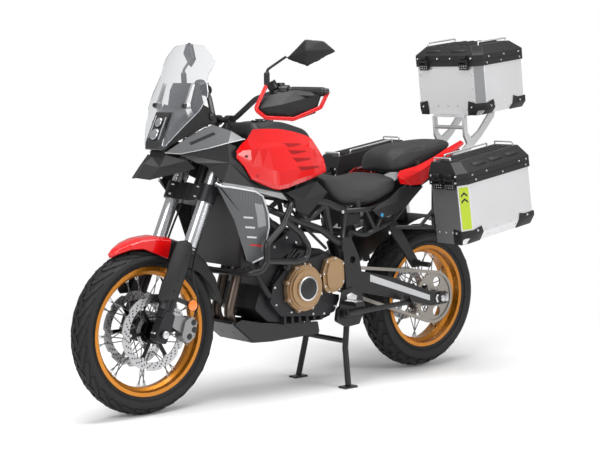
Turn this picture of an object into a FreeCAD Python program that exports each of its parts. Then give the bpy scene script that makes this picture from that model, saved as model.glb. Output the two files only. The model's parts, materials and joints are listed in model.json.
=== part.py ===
import FreeCAD, Part

import math
import os

import Sketcher
from FreeCAD import Placement, Rotation, Vector

# Adventure motorcycle, parked on its centre stand.
# X points forward, Y to the rider's left and Z up, with the origin on the ground under the
# middle of the bounding box. Chassis pieces are drawn from the ground point under the rear
# axle, steered pieces from the front axle with Z up the fork, and wheels from their axle.

# The driving sizes, in mm and degrees
SIZES = {
    # Whole vehicle
    "origin_to_rear_axle": 673.5,
    "wheelbase": 1510,
    "rear_axle_height": 327,
    "rake": 24,
    # Front wheel
    "front_tyre_radius": 329,
    "front_tyre_half": 55,
    "front_flange_radius": 255.5,
    "front_rim_half": 38,
    "front_seat_radius": 243,
    # Rear wheel
    "rear_tyre_radius": 321,
    "rear_tyre_half": 75,
    "rear_flange_radius": 230,
    "rear_rim_half": 60,
    "rear_seat_radius": 217,
    "rim_wall": 4,
    "tyre_wall": 9,
    "spoke_radius": 2.2,
    "hub_flange_radius": 46,
    "hub_core_radius": 24,
    "axle_radius": 10,
    "axle_bore_radius": 6,
    "shaft_play": 0.05,
    # Brakes and drive
    "front_disc_radius": 150,
    "front_disc_across": 62.5,
    "disc_thickness": 5,
    "rear_disc_radius": 120,
    "sprocket_radius": 111,
    "sprocket_teeth": 44,
    "drive_sprocket_radius": 40,
    "chain_across": 100,
    "chain_half_height": 7,
    "chain_plate": 3,
    "sprocket_half": 3.5,
    # Fork and steering
    "fork_spread": 105,
    "fork_tube_radius": 27,
    "fork_leg_radius": 21.5,
    "fork_offset": 32,
    "stem_radius": 14,
    "lower_clamp_height": 576,
    "upper_clamp_height": 778,
    "fork_tube_low": 330,
    "fork_tube_top": 830,
    "bar_radius": 11,
    "grip_radius": 17,
    "guard_bar_radius": 8,
    # Frame and bodywork
    "frame_half": 150,
    "frame_tube_radius": 14,
    "sub_tube_radius": 11,
    "crash_tube_radius": 13,
    "rack_tube_radius": 9,
    "panel_wall": 4,
    "pivot_x": 540,
    "pivot_z": 440,
    "drive_x": 648,
    "drive_z": 480,
    # Cases
    "case_wall": 3,
    "pannier_x": -40,
    "pannier_z": 633,
    "pannier_pitch": 9,
    "pannier_length": 430,
    "pannier_inner": 290,
    "pannier_outer": 470,
    "pannier_seam": 280,
    "pannier_height": 350,
    "top_case_x": -348,
    "top_case_z": 1154,
    "top_case_pitch": 7,
    "top_case_length": 290,
    "top_case_half": 205,
    "top_case_seam": 243,
    "top_case_height": 306,
    "lid_gap": 1,
    "lid_rim": 24,
    "band_drop": 24,
    "band_grow": 5,
    "case_fold": 38,
    "case_fold_across": 25,
    "hinge_ahead": 14,
    "knuckle_radius": 7,
    # Stands
    "side_stand_x": 608,
    "side_stand_z": 320,
    "centre_stand_x": 545,
    "centre_stand_z": 285,
    "stand_pin_radius": 8,
}

doc = FreeCAD.newDocument("adventure_motorcycle")
sheet = doc.addObject("Spreadsheet::Sheet", "Sizes")
for row, (alias, number) in enumerate(SIZES.items(), start=1):
    sheet.set(f"A{row}", alias)
    sheet.set(f"B{row}", str(number))
    sheet.setAlias(f"B{row}", alias)
doc.recompute()


class Length:
    """A size together with the sheet expression that gives it."""

    def __init__(self, value, text):
        self.value = float(value)
        self.text = text

    def __float__(self):
        return self.value

    def __add__(self, other):
        other = as_length(other)
        return Length(self.value + other.value, f"({self.text} + {other.text})")

    def __radd__(self, other):
        return as_length(other) + self

    def __sub__(self, other):
        other = as_length(other)
        return Length(self.value - other.value, f"({self.text} - {other.text})")

    def __rsub__(self, other):
        return as_length(other) - self

    def __mul__(self, factor):
        return Length(self.value * factor, f"({self.text} * {factor:.6g})")

    def __rmul__(self, factor):
        return self * factor

    def __neg__(self):
        return Length(-self.value, f"(0 - {self.text})")


def as_length(number):
    """A plain number as a Length."""
    if isinstance(number, Length):
        return number
    return Length(number, f"({float(number):.6g})")


class Sheet:
    """The sizes of the sheet by name."""


D = Sheet()
for alias in SIZES:
    setattr(D, alias, Length(sheet.get(alias), f"Sizes.{alias}"))

RAKE = math.radians(float(D.rake))
CHASSIS = Placement(Vector(-float(D.origin_to_rear_axle), 0, 0), Rotation())
FRONT_AXLE = Vector(float(D.wheelbase - D.origin_to_rear_axle), 0, float(D.front_tyre_radius))
REAR_AXLE = Vector(-float(D.origin_to_rear_axle), 0, float(D.rear_axle_height))
FORK = Placement(FRONT_AXLE, Rotation(Vector(0, 1, 0), -float(D.rake)))
FRONT_WHEEL = Placement(FRONT_AXLE, Rotation())
REAR_WHEEL = Placement(REAR_AXLE, Rotation())
UP = Vector(0, 0, 1)
LEFT = Vector(0, 1, 0)
FORWARD = Vector(1, 0, 0)


# Sketches and turned bodies
def bind(sketch, kind, *where, length):
    """Add a constraint whose value follows the sheet."""
    index = sketch.addConstraint(Sketcher.Constraint(kind, *where, length.value))
    sketch.setExpression(f"Constraints[{index}]", length.text)


def closed_sketch(body, label, role, corners):
    """A closed outline; a third value makes the edge up to that corner an arc of that
    radius, run clockwise where the value is negative."""
    sketch = body.newObject("Sketcher::SketchObject", label)
    plane = [item for item in body.Origin.OriginFeatures if item.Role == role][0]
    sketch.AttachmentSupport = [(plane, "")]
    sketch.MapMode = "FlatFace"
    count = len(corners)
    spots = [Vector(float(corner[0]), float(corner[1]), 0) for corner in corners]
    first_ends = []
    last_ends = []
    for index in range(count):
        target = (index + 1) % count
        begin, end = spots[index], spots[target]
        if len(corners[target]) == 3:
            swing = as_length(corners[target][2])
            clockwise = swing.value < 0
            radius = -swing if clockwise else swing
            if clockwise:
                begin, end = end, begin
            chord = end - begin
            side = Vector(-chord.y, chord.x, 0).normalize()
            rise = math.sqrt(radius.value ** 2 - chord.Length ** 2 / 4)
            centre = (begin + end) * 0.5 + side * rise
            first = math.atan2(begin.y - centre.y, begin.x - centre.x)
            last = math.atan2(end.y - centre.y, end.x - centre.x)
            if last < first:
                last += 2 * math.pi
            circle = Part.Circle(centre, Vector(0, 0, 1), radius.value)
            sketch.addGeometry(Part.ArcOfCircle(circle, first, last))
            bind(sketch, "Radius", index, length=radius)
            first_ends.append(2 if clockwise else 1)
            last_ends.append(1 if clockwise else 2)
        else:
            sketch.addGeometry(Part.LineSegment(begin, end))
            first_ends.append(1)
            last_ends.append(2)
    for index in range(count):
        target = (index + 1) % count
        joint = Sketcher.Constraint("Coincident", index, last_ends[index], target, first_ends[target])
        sketch.addConstraint(joint)
    for index, corner in enumerate(corners):
        end = first_ends[index]
        bind(sketch, "DistanceX", -1, 1, index, end, length=as_length(corner[0]))
        bind(sketch, "DistanceY", -1, 1, index, end, length=as_length(corner[1]))
    return sketch


def turned(label, corners, place):
    """A body turned about its Y axis from corners given as (radius, across)."""
    body = doc.addObject("PartDesign::Body", label)
    sketch = closed_sketch(body, label + "_outline", "XY_Plane", corners)
    turn = body.newObject("PartDesign::Revolution", label + "_turn")
    turn.Profile = sketch
    turn.ReferenceAxis = (sketch, ["V_Axis"])
    turn.Angle = 360
    body.Placement = place
    return body


# Solids drawn with Part
def point(x, y, z):
    return Vector(float(x), float(y), float(z))


def path(corners, bend, closed=False):
    """A wire through the corners with each inner corner rounded to the bend radius."""
    count = len(corners)
    turns = range(count) if closed else range(1, count - 1)
    arcs = {}
    for index in turns:
        corner = corners[index]
        before = corner - corners[index - 1]
        after = corners[(index + 1) % count] - corner
        reach = 0.48 * min(before.Length, after.Length)
        before.normalize()
        after.normalize()
        turn = before.getAngle(after)
        radius = bend[index] if isinstance(bend, (list, tuple)) else bend
        if turn < 0.02 or radius <= 0:
            continue
        tangent = min(radius * math.tan(turn / 2), reach)
        radius = tangent / math.tan(turn / 2)
        inward = (after - before).normalize()
        middle = corner + inward * (radius / math.cos(turn / 2) - radius)
        arcs[index] = (corner - before * tangent, middle, corner + after * tangent)
    edges = []
    spans = range(count) if closed else range(count - 1)
    for index in spans:
        target = (index + 1) % count
        begin = arcs[index][2] if index in arcs else corners[index]
        end = arcs[target][0] if target in arcs else corners[target]
        if (end - begin).Length > 1e-4:
            edges.append(Part.LineSegment(begin, end).toShape())
        if target in arcs:
            edges.append(Part.Arc(*arcs[target]).toShape())
    return Part.Wire(edges)


def tube(corners, radius, bend=40):
    """A round bar through the corners."""
    corners = [point(*corner) for corner in corners]
    ring = Part.Wire([Part.Circle(corners[0], corners[1] - corners[0], float(radius)).toShape()])
    return path(corners, bend).makePipeShell([ring], True, False)


def ring_tube(corners, radius, bend):
    """A round bar through the corners and back to the first."""
    spine = path([point(*corner) for corner in corners], bend, closed=True)
    first = spine.Edges[0]
    start = first.valueAt(first.FirstParameter)
    ring = Part.Wire([Part.Circle(start, first.tangentAt(first.FirstParameter),
                                  float(radius)).toShape()])
    return spine.makePipeShell([ring], True, False)


def rod(begin, end, radius):
    begin, end = point(*begin), point(*end)
    along = end - begin
    return Part.makeCylinder(float(radius), along.Length, begin, along)


def wire_bar(begin, end, radius):
    """A thin bar of six flats, for spokes and chain pins."""
    begin, end = point(*begin), point(*end)
    along = end - begin
    turn = Rotation(UP, along)
    corners = []
    for index in range(7):
        angle = math.pi * index / 3
        spot = Vector(float(radius) * math.cos(angle), float(radius) * math.sin(angle), 0)
        corners.append(begin + turn.multVec(spot))
    return Part.Face(Part.makePolygon(corners)).extrude(along)


def block(x_range, y_range, z_range):
    low = point(x_range[0], y_range[0], z_range[0])
    high = point(x_range[1], y_range[1], z_range[1])
    span = high - low
    return Part.makeBox(span.x, span.y, span.z, low)


def plate(corners, direction, begin, end, bend=0):
    """A flat outline, in the plane across the direction, made thick from begin to end."""
    if direction == LEFT:
        spots = [Vector(float(a), float(begin), float(b)) for a, b in corners]
    elif direction == UP:
        spots = [Vector(float(a), float(b), float(begin)) for a, b in corners]
    else:
        spots = [Vector(float(begin), float(a), float(b)) for a, b in corners]
    face = Part.Face(path(spots, bend, closed=True))
    return face.extrude(direction * (float(end) - float(begin)))


def section(x, half_corners, bend):
    """A closed outline across the vehicle from its left half, low to high."""
    left = [Vector(float(x), float(y), float(z)) for y, z in half_corners]
    right = [Vector(spot.x, -spot.y, spot.z) for spot in reversed(left)]
    return path(left + right, bend, closed=True)


def loft(sections, bend):
    """A smooth body through sections given as (x, left half corners)."""
    wires = [section(x, corners, bend) for x, corners in sections]
    return Part.makeLoft(wires, True, False)


def facets(corners, triangles, inward):
    """A folded panel of flat faces with an even wall behind it."""
    outer = [point(*corner) for corner in corners]
    inner = [spot + point(*inward) for spot in outer]
    faces = []
    edges = {}
    for a, b, c in triangles:
        faces.append(Part.Face(Part.makePolygon([outer[a], outer[b], outer[c], outer[a]])))
        faces.append(Part.Face(Part.makePolygon([inner[a], inner[c], inner[b], inner[a]])))
        for pair in ((a, b), (b, c), (c, a)):
            edges[pair] = edges.get(pair, 0) + 1
    for a, b in edges:
        if (b, a) not in edges:
            faces.append(Part.Face(Part.makePolygon([outer[a], outer[b], inner[b], outer[a]])))
            faces.append(Part.Face(Part.makePolygon([outer[a], inner[b], inner[a], outer[a]])))
    solid = Part.Solid(Part.Shell(faces))
    if solid.Volume < 0:
        solid.reverse()
    return solid


def fan(count):
    """Triangles from the last corner to each edge of the ring before it."""
    return [(index, (index + 1) % count, count) for index in range(count)]


def skin(rows, inward=None, inner=None):
    """A thin body through rows of points, with its inside a step inward or given in rows."""
    outer = [[point(*spot) for spot in row] for row in rows]
    if inner:
        inner = [[point(*spot) for spot in row] for row in inner]
    else:
        inner = [[spot + point(*inward) for spot in row] for row in outer]
    faces = []

    def patch(a, b, c, d):
        for corners in ((a, b, c, a), (a, c, d, a)):
            faces.append(Part.Face(Part.makePolygon(corners)))

    last_row = len(rows) - 1
    last = len(rows[0]) - 1
    for row in range(last_row):
        for spot in range(last):
            patch(outer[row][spot], outer[row][spot + 1], outer[row + 1][spot + 1], outer[row + 1][spot])
            patch(inner[row][spot], inner[row + 1][spot], inner[row + 1][spot + 1], inner[row][spot + 1])
        for spot in (0, last):
            patch(outer[row][spot], outer[row + 1][spot], inner[row + 1][spot], inner[row][spot])
    for spot in range(last):
        for row in (0, last_row):
            patch(outer[row][spot], inner[row][spot], inner[row][spot + 1], outer[row][spot + 1])
    solid = Part.Solid(Part.Shell(faces))
    if solid.Volume < 0:
        solid.reverse()
    return solid


def mirrored(shape):
    return shape.mirror(Vector(0, 0, 0), LEFT)


def both_sides(shape):
    return joined(shape, mirrored(shape))


def joined(*shapes):
    whole = shapes[0].multiFuse(list(shapes[1:])) if len(shapes) > 1 else shapes[0]
    return whole.removeSplitter()


def fitted(shape, *neighbours):
    """The shape with its neighbours cut away, without the crumbs that this leaves."""
    rest = shape.cut(list(neighbours))
    largest = max(solid.Volume for solid in rest.Solids)
    kept = [solid for solid in rest.Solids if solid.Volume > 0.02 * largest]
    return Part.makeCompound(kept) if len(kept) > 1 else kept[0]


def node(label, shape, place):
    """A sub-part from a shape drawn in the frame that the placement gives."""
    item = doc.addObject("Part::Feature", label)
    item.Shape = shape
    item.Placement = place
    return item


def from_axle(x, z):
    """A point of the side view, seen from the rear axle's ground point, in the fork's frame."""
    ahead = float(x) - float(D.wheelbase)
    above = float(z) - float(D.front_tyre_radius)
    return (ahead * math.cos(RAKE) + above * math.sin(RAKE),
            above * math.cos(RAKE) - ahead * math.sin(RAKE))


def steered(x, y, z):
    """A point of the vehicle in the fork's frame."""
    ahead, above = from_axle(x, z)
    return (ahead, y, above)


# Wheels
TYRE_STEPS = 72


def tyre(radius, half, flange, rim_half, seat):
    """A carcass open towards the rim, in flat bands that the tread lies on."""
    seat = seat * (1 / math.cos(math.pi / TYRE_STEPS))
    bead = rim_half - D.rim_wall
    shoulder = flange + (radius - flange) * 0.47
    inner_half = half - D.tyre_wall
    crown = radius.value - shoulder.value
    arc = (crown ** 2 + half.value ** 2) / (2 * crown)
    share = 0.78
    drop = arc - math.sqrt(arc ** 2 - (share * half.value) ** 2)
    band = radius - drop
    left = [
        (radius, half * 0.3),
        (band, half * share),
        (shoulder, half),
        (flange + 3, bead),
        (seat, bead),
        (seat, bead - 14),
        (shoulder, inner_half),
    ]
    right = [(spot, -across) for spot, across in reversed(left)]
    outline = left + [(radius - D.tyre_wall, as_length(0))] + right
    rings = []
    for step in range(TYRE_STEPS + 1):
        angle = 2 * math.pi * (step % TYRE_STEPS) / TYRE_STEPS
        rings.append([point(float(spot) * math.cos(angle), across, float(spot) * math.sin(angle))
                      for spot, across in outline])
    faces = []
    for near, far in zip(rings, rings[1:]):
        for spot in range(len(outline)):
            after = (spot + 1) % len(outline)
            corners = [near[spot], near[after], far[after], far[spot], near[spot]]
            faces.append(Part.Face(Part.makePolygon(corners)))
    solid = Part.Solid(Part.Shell(faces))
    if solid.Volume < 0:
        solid.reverse()
    return solid


def rim(label, flange, half, seat, place):
    """A gold rim: flanges, bead seats and a dropped well."""
    wall = D.rim_wall
    well = seat - 18
    corners = [
        (flange, half - wall),
        (flange, half),
        (seat - wall, half),
        (seat - wall - 3, half * 0.5),
        (well - wall, half * 0.3),
        (well - wall, half * -0.3),
        (seat - wall - 3, half * -0.5),
        (seat - wall, -half),
        (flange, -half),
        (flange, wall - half),
        (seat, wall - half),
        (seat - 3, half * -0.5),
        (well, half * -0.3),
        (well, half * 0.3),
        (seat - 3, half * 0.5),
        (seat, half - wall),
    ]
    return turned(label, corners, place)


def hub_outline(half, flange_across):
    """A spool with two spoke flanges and a bore for the axle."""
    bore = D.axle_radius + D.shaft_play
    core = D.hub_core_radius
    flange = D.hub_flange_radius
    near = flange_across - 4
    far = flange_across + 4
    return [
        (bore, -half),
        (bore, half),
        (core, half),
        (core, far),
        (flange, far),
        (flange, near),
        (core + 4, near - 6),
        (core + 4, 6 - near),
        (flange, -near),
        (flange, -far),
        (core, -far),
        (core, -half),
    ]


def spokes(count, flange_across, rim_radius, rim_across):
    """Crossed wire spokes from both hub flanges to the rim's well."""
    rods = []
    hub_radius = float(D.hub_flange_radius) - 5
    for index in range(count):
        side = 1 if index % 2 else -1
        lean = 0.9 if (index // 2) % 2 else -0.9
        angle = 2 * math.pi * index / count
        begin = (hub_radius * math.cos(angle), side * flange_across, hub_radius * math.sin(angle))
        reach = float(rim_radius)
        end_angle = angle + lean
        end = (reach * math.cos(end_angle), side * rim_across, reach * math.sin(end_angle))
        rods.append(wire_bar(begin, end, D.spoke_radius))
    return rods


def disc(radius, inner, across, thickness):
    """A brake disc ring with a scalloped edge and its carrier."""
    low = float(across) - float(thickness) / 2
    ring = Part.makeCylinder(float(radius), float(thickness), Vector(0, low, 0), LEFT)
    ring = ring.cut(Part.makeCylinder(float(inner), float(thickness) * 3,
                                      Vector(0, low - float(thickness), 0), LEFT))
    notches = []
    for index in range(10):
        angle = 2 * math.pi * index / 10
        centre = Vector(float(radius) * 1.06 * math.cos(angle), low - 1,
                        float(radius) * 1.06 * math.sin(angle))
        notches.append(Part.makeCylinder(float(radius) * 0.11, float(thickness) + 2, centre, LEFT))
    return ring.cut(notches)


node("front_tyre", tyre(D.front_tyre_radius, D.front_tyre_half, D.front_flange_radius,
                        D.front_rim_half, D.front_seat_radius), FRONT_WHEEL)
node("rear_tyre", tyre(D.rear_tyre_radius, D.rear_tyre_half, D.rear_flange_radius,
                       D.rear_rim_half, D.rear_seat_radius), REAR_WHEEL)
front_rim = rim("front_rim", D.front_flange_radius, D.front_rim_half, D.front_seat_radius,
                FRONT_WHEEL)
rear_rim = rim("rear_rim", D.rear_flange_radius, D.rear_rim_half, D.rear_seat_radius, REAR_WHEEL)
front_core = turned("front_hub_core", hub_outline(as_length(60), as_length(34)), Placement())
rear_core = turned("rear_hub_core", hub_outline(as_length(80), as_length(40)), Placement())
doc.recompute()

front_wires = spokes(36, 34, float(D.front_seat_radius) - 20, 6)
rear_wires = spokes(36, 40, float(D.rear_seat_radius) - 20, 8)
front_rim_shape = front_rim.Shape.copy()
front_rim_shape.Placement = Placement()
rear_rim_shape = rear_rim.Shape.copy()
rear_rim_shape.Placement = Placement()
node("front_hub", joined(front_core.Shape, *front_wires).cut(front_rim_shape), FRONT_WHEEL)
node("rear_hub", joined(rear_core.Shape, *rear_wires).cut(rear_rim_shape), REAR_WHEEL)


# Discs and sprocket
def carrier(inner, outer, across, arms):
    """Spider arms that join a disc or sprocket to the hub."""
    bars = []
    thick = float(D.disc_thickness)
    for index in range(arms):
        bar = block((float(inner), float(outer) + 6), (across - thick / 2, across + thick / 2),
                    (-7, 7))
        bar.rotate(Vector(0, 0, 0), LEFT, 360 * index / arms)
        bars.append(bar)
    ring = Part.makeCylinder(float(inner) + 10, thick, Vector(0, across - thick / 2, 0), LEFT)
    hole = Part.makeCylinder(float(D.hub_core_radius), thick, Vector(0, across - thick / 2, 0), LEFT)
    return joined(ring, *bars).cut(hole)


def braking_disc(radius, across):
    ring = disc(radius, float(radius) - 34, across, D.disc_thickness)
    return joined(ring, carrier(34, float(radius) - 34, across, 6))


front_disc = braking_disc(D.front_disc_radius, float(D.front_disc_across))
node("front_discs", Part.makeCompound([front_disc, mirrored(front_disc)]), FRONT_WHEEL)
node("rear_disc", braking_disc(D.rear_disc_radius, -76), REAR_WHEEL)


def gear(radius, teeth, across, half, bore):
    """A toothed ring on spider arms."""
    blank = Part.makeCylinder(float(radius) - 3, 2 * float(half), Vector(0, across - float(half), 0),
                              LEFT)
    teeth_shapes = []
    for index in range(teeth):
        tooth = block((float(radius) - 6, float(radius) + 4),
                      (across - float(half), across + float(half)), (-3.2, 3.2))
        tooth.rotate(Vector(0, 0, 0), LEFT, 360 * index / teeth)
        teeth_shapes.append(tooth)
    windows = []
    for index in range(5):
        angle = 2 * math.pi * (index + 0.5) / 5
        reach = float(radius) * 0.62
        windows.append(rod((reach * math.cos(angle), across - 10, reach * math.sin(angle)),
                           (reach * math.cos(angle), across + 10, reach * math.sin(angle)),
                           float(radius) * 0.2))
    windows.append(rod((0, across - 10, 0), (0, across + 10, 0), bore))
    return joined(blank, *teeth_shapes).cut(windows)


sprocket = gear(D.sprocket_radius, int(float(D.sprocket_teeth)), float(D.chain_across),
                D.sprocket_half, 30)
cush_drive = rod((0, 80, 0), (0, 96.5, 0), 46).cut(rod((0, 79, 0), (0, 98, 0), 12))
node("rear_sprocket", joined(sprocket, cush_drive), REAR_WHEEL)


# Fork
SPREAD = float(D.fork_spread)
OFFSET = -float(D.fork_offset)
LOWER = float(D.lower_clamp_height)
UPPER = float(D.upper_clamp_height)
TUBE_LOW = float(D.fork_tube_low)
TUBE_TOP = float(D.fork_tube_top)


def fork_tube():
    """One silver outer tube with its cap."""
    barrel = rod((0, SPREAD, TUBE_LOW), (0, SPREAD, TUBE_TOP), D.fork_tube_radius)
    cap = rod((0, SPREAD, TUBE_TOP), (0, SPREAD, TUBE_TOP + 8), 20)
    return joined(barrel, cap)


def fork_leg():
    """One chromed leg with the axle foot at its lower end."""
    leg = rod((0, SPREAD, 0), (0, SPREAD, TUBE_LOW), D.fork_leg_radius)
    foot = plate([(-26, -34), (26, -34), (30, 30), (24, 88), (-24, 88), (-30, 30)], LEFT,
                 SPREAD - 22, SPREAD + 22, 12)
    return joined(leg, foot)


def clamp(height, thick):
    """One triple clamp: two eyes, a web and the stem's boss."""
    low, high = height - thick / 2, height + thick / 2
    web = plate([(28, -SPREAD + 10), (14, -20), (14, 20), (28, SPREAD - 10), (8, SPREAD + 32),
                 (-22, SPREAD + 22), (OFFSET - 26, 30), (OFFSET - 26, -30), (-22, -SPREAD - 22),
                 (8, -SPREAD - 32)], UP, low, high, 8)
    eyes = [rod((0, side * SPREAD, low), (0, side * SPREAD, high), 38) for side in (1, -1)]
    bores = [rod((0, side * SPREAD, low - 1), (0, side * SPREAD, high + 1), D.fork_tube_radius)
             for side in (1, -1)]
    return joined(web, *eyes).cut(bores)


node("fork_tubes", Part.makeCompound([fork_tube(), mirrored(fork_tube())]), FORK)

axle = rod((0, -SPREAD - 30, 0), (0, SPREAD + 30, 0), D.axle_radius)
leg_pair = both_sides(fork_leg())
guard_outline = [(12, SPREAD + 26), (34, SPREAD + 26), (46, SPREAD + 8), (46, SPREAD - 8),
                 (34, SPREAD - 24), (12, SPREAD - 24)]
guard_solid = plate(guard_outline, UP, 92, 366, 8)
guard_core = rod((0, SPREAD, 80), (0, SPREAD, 380), 31)
leg_guard_shape = guard_solid.cut(guard_core)
guard_foot = block((18, 34), (SPREAD - 20, SPREAD + 20), (60, 96))
guard_left = joined(leg_guard_shape, guard_foot)
axle_bore = rod((0, -SPREAD - 31, 0), (0, SPREAD + 31, 0), D.axle_bore_radius)
fork_legs_shape = joined(leg_pair, axle, guard_left, mirrored(guard_left)).cut(axle_bore)
node("fork_legs", fork_legs_shape, FORK)

stem = rod((OFFSET, 0, LOWER - 35), (OFFSET, 0, UPPER + 17), D.stem_radius)
lower_clamp = clamp(LOWER, 70)
upper_clamp = clamp(UPPER, 30)
node("triple_clamps", joined(lower_clamp, upper_clamp, stem), FORK)


# Front calipers
def caliper(side):
    """A four-piston caliper astride the disc, behind the leg."""
    disc_low = float(D.front_disc_across) - float(D.disc_thickness) / 2 - 1.5
    disc_high = disc_low + float(D.disc_thickness) + 3
    body = plate([(-112, 20), (-150, 4), (-172, 40), (-160, 100), (-128, 112), (-104, 84)], LEFT,
                 disc_low - 12, disc_high + 30, 10)
    slot = rod((0, disc_low, 0), (0, disc_high, 0), float(D.front_disc_radius) + 5)
    bracket = plate([(-20, 84), (-20, 52), (-122, 34), (-128, 100)], LEFT, disc_high + 2,
                    disc_high + 18, 6)
    shape = joined(body, bracket).cut(slot)
    return shape if side > 0 else mirrored(shape)


node("front_calipers", Part.makeCompound(
    [fitted(caliper(side), leg_pair) for side in (1, -1)]), FORK)


# Fenders
def fender_arc(inner, outer, half, first, last):
    """A band about the wheel from one angle to another, in degrees above forward."""
    band = rod((0, -half, 0), (0, half, 0), outer).cut(rod((0, -half - 1, 0), (0, half + 1, 0), inner))
    reach = outer * 3
    wedge = [(0, 0)]
    steps = 4
    for index in range(steps + 1):
        angle = math.radians(first + (last - first) * index / steps)
        wedge.append((reach * math.cos(angle), reach * math.sin(angle)))
    return band.common(plate(wedge, LEFT, -half - 1, half + 1))


def front_fender():
    """A peaked roof with side skirts, given by angle, half width, skirt, crown and ridge."""
    wall = float(D.panel_wall)
    stations = [
        (39, 12, 340, 351, 2),
        (44, 28, 342, 355, 4),
        (52, 46, 341, 359, 6),
        (60, 57, 332, 363, 7),
        (70, 63, 308, 366, 8),
        (80, 65, 294, 367, 8),
        (90, 66, 290, 366, 8),
        (100, 66, 297, 365, 7),
        (112, 66, 314, 363, 5),
        (125, 64, 328, 360, 4),
        (142, 60, 338, 357, 2),
    ]
    rows = []
    for degrees, half, skirt, crown, ridge in stations:
        outline = [(half, skirt), (half, crown - 5), (half - 5, crown), (half * 0.4, crown + ridge)]
        outline += [(0, crown + ridge + 1)]
        outline += [(-across, reach) for across, reach in reversed(outline[:-1])]
        angle = math.radians(degrees)
        rows.append([(reach * math.cos(angle), across, reach * math.sin(angle))
                     for across, reach in outline])
    inner = []
    for row, (degrees, half, skirt, crown, ridge) in zip(rows, stations):
        angle = math.radians(degrees)
        spots = []
        for x, across, z in row:
            share = (half - wall) / half
            reach = max(math.hypot(x, z) - wall, skirt - wall)
            spots.append((reach * math.cos(angle), across * share, reach * math.sin(angle)))
        inner.append(spots)
    lug = block((-24, 8), (62, 88), (262, 320))
    return fitted(joined(skin(rows, inner=inner), lug, mirrored(lug)), leg_pair)


node("front_fender", front_fender(), FORK)


# Handlebar and what it carries
def handlebar():
    centre = steered(1108, 0, 1140)
    spots = [steered(1108, 62, 1141), steered(1062, 150, 1226), steered(1014, 236, 1258),
             steered(925, 405, 1254)]
    left = [(x, y, z) for x, y, z in spots]
    right = [(x, -y, z) for x, y, z in reversed(spots)]
    bar = tube(right + left, D.bar_radius, 60)
    grips = []
    for side in (1, -1):
        begin = steered(925 + 66, side * 279, 1256.5)
        end = steered(925, side * 405, 1254)
        grips.append(rod(begin, end, D.grip_radius))
        tip = steered(918, side * 418, 1253.7)
        grips.append(rod(end, tip, 14))
        switch_begin = steered(1020, side * 224, 1257.8)
        switch_end = steered(995, side * 272, 1256.8)
        grips.append(rod(switch_begin, switch_end, 24))
        lever = tube([steered(1052, side * 250, 1250), steered(1030, side * 300, 1244),
                      steered(975, side * 400, 1240)], 6, 30)
        perch = rod(steered(1015, side * 240, 1257), steered(1056, side * 243, 1250), 12)
        grips.append(joined(perch, lever))
    risers = [rod((centre[0], side * 40, UPPER + 14), (centre[0], side * 40, centre[2]), 15)
              for side in (1, -1)]
    feet = [plate([(centre[0] - 18, side * 40 - 16), (centre[0] + 18, side * 40 - 16),
                   (centre[0] + 18, side * 40 + 16), (centre[0] - 18, side * 40 + 16)], UP,
                  UPPER + 15, UPPER + 30, 5) for side in (1, -1)]
    caps = [rod((centre[0], side * 40 - 16, centre[2]), (centre[0], side * 40 + 16, centre[2]), 20)
            for side in (1, -1)]
    return joined(bar, *grips, *risers, *feet, *caps)


bar_shape = fitted(handlebar(), upper_clamp)
node("handlebar", bar_shape, FORK)


def hand_guard():
    """The folded shield in front of one grip."""
    spots = [steered(1112, 258, 1238), steered(1158, 266, 1190), steered(1126, 282, 1160),
             steered(1036, 340, 1141), steered(957, 386, 1172), steered(934, 398, 1246),
             steered(1010, 330, 1262), steered(1092, 335, 1205)]
    return facets(spots, fan(7), (-3.5, -3.5, 0.5))


def guard_bar():
    """The red bar that frames one shield, from the bar's end to the lever perch."""
    spots = [steered(1102, 266, 1284), steered(1166, 272, 1188), steered(1132, 294, 1156),
             steered(1040, 354, 1150), steered(945, 404, 1194), steered(917, 414, 1252)]
    return tube(spots, D.guard_bar_radius, 18)


left_bar = fitted(guard_bar(), bar_shape)
left_guard = fitted(hand_guard(), bar_shape, left_bar)
node("guard_bars", Part.makeCompound([left_bar, mirrored(left_bar)]), FORK)
node("hand_guards", Part.makeCompound([left_guard, mirrored(left_guard)]), FORK)


def mirror():
    """One mirror: sleeve, stem and folded housing."""
    sleeve = rod(steered(1102, 266, 1276), steered(1104, 268, 1330), 12)
    stem = tube([steered(1104, 268, 1325), steered(1101, 270, 1342), steered(1034, 304, 1392)], 6, 12)
    ring = [steered(1031, 300, 1386), steered(996, 370, 1459), steered(962, 438, 1452),
            steered(941, 478, 1416), steered(994, 374, 1359)]
    back = steered(1012, 392, 1412)
    corners = ring + [back]
    inward = (-16, -3, -2)
    housing = facets(corners, fan(5), inward)
    return joined(sleeve, stem, housing)


left_mirror = fitted(mirror(), bar_shape, left_bar, left_guard)
node("mirrors", Part.makeCompound([left_mirror, mirrored(left_mirror)]), FORK)


# Frame
HALF = float(D.frame_half)
TUBE = float(D.frame_tube_radius)
SUB = float(D.sub_tube_radius)
PIVOT = (float(D.pivot_x), float(D.pivot_z))


def steering_head():
    """The head tube, bored for the stem, in the chassis frame."""
    low, high = LOWER + 36, UPPER - 16
    head = rod((OFFSET, 0, low), (OFFSET, 0, high), 27)
    head = head.cut(rod((OFFSET, 0, low - 1), (OFFSET, 0, high + 1),
                        D.stem_radius + D.shaft_play))
    return in_chassis(head)


def in_chassis(shape):
    """A shape drawn in the fork's frame, moved to the chassis frame."""
    moved = shape.copy()
    moved.Placement = CHASSIS.inverse() * FORK
    return moved.copy()


def stem_space():
    return in_chassis(rod((OFFSET, 0, LOWER + 30), (OFFSET, 0, UPPER), D.stem_radius + D.shaft_play))


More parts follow.
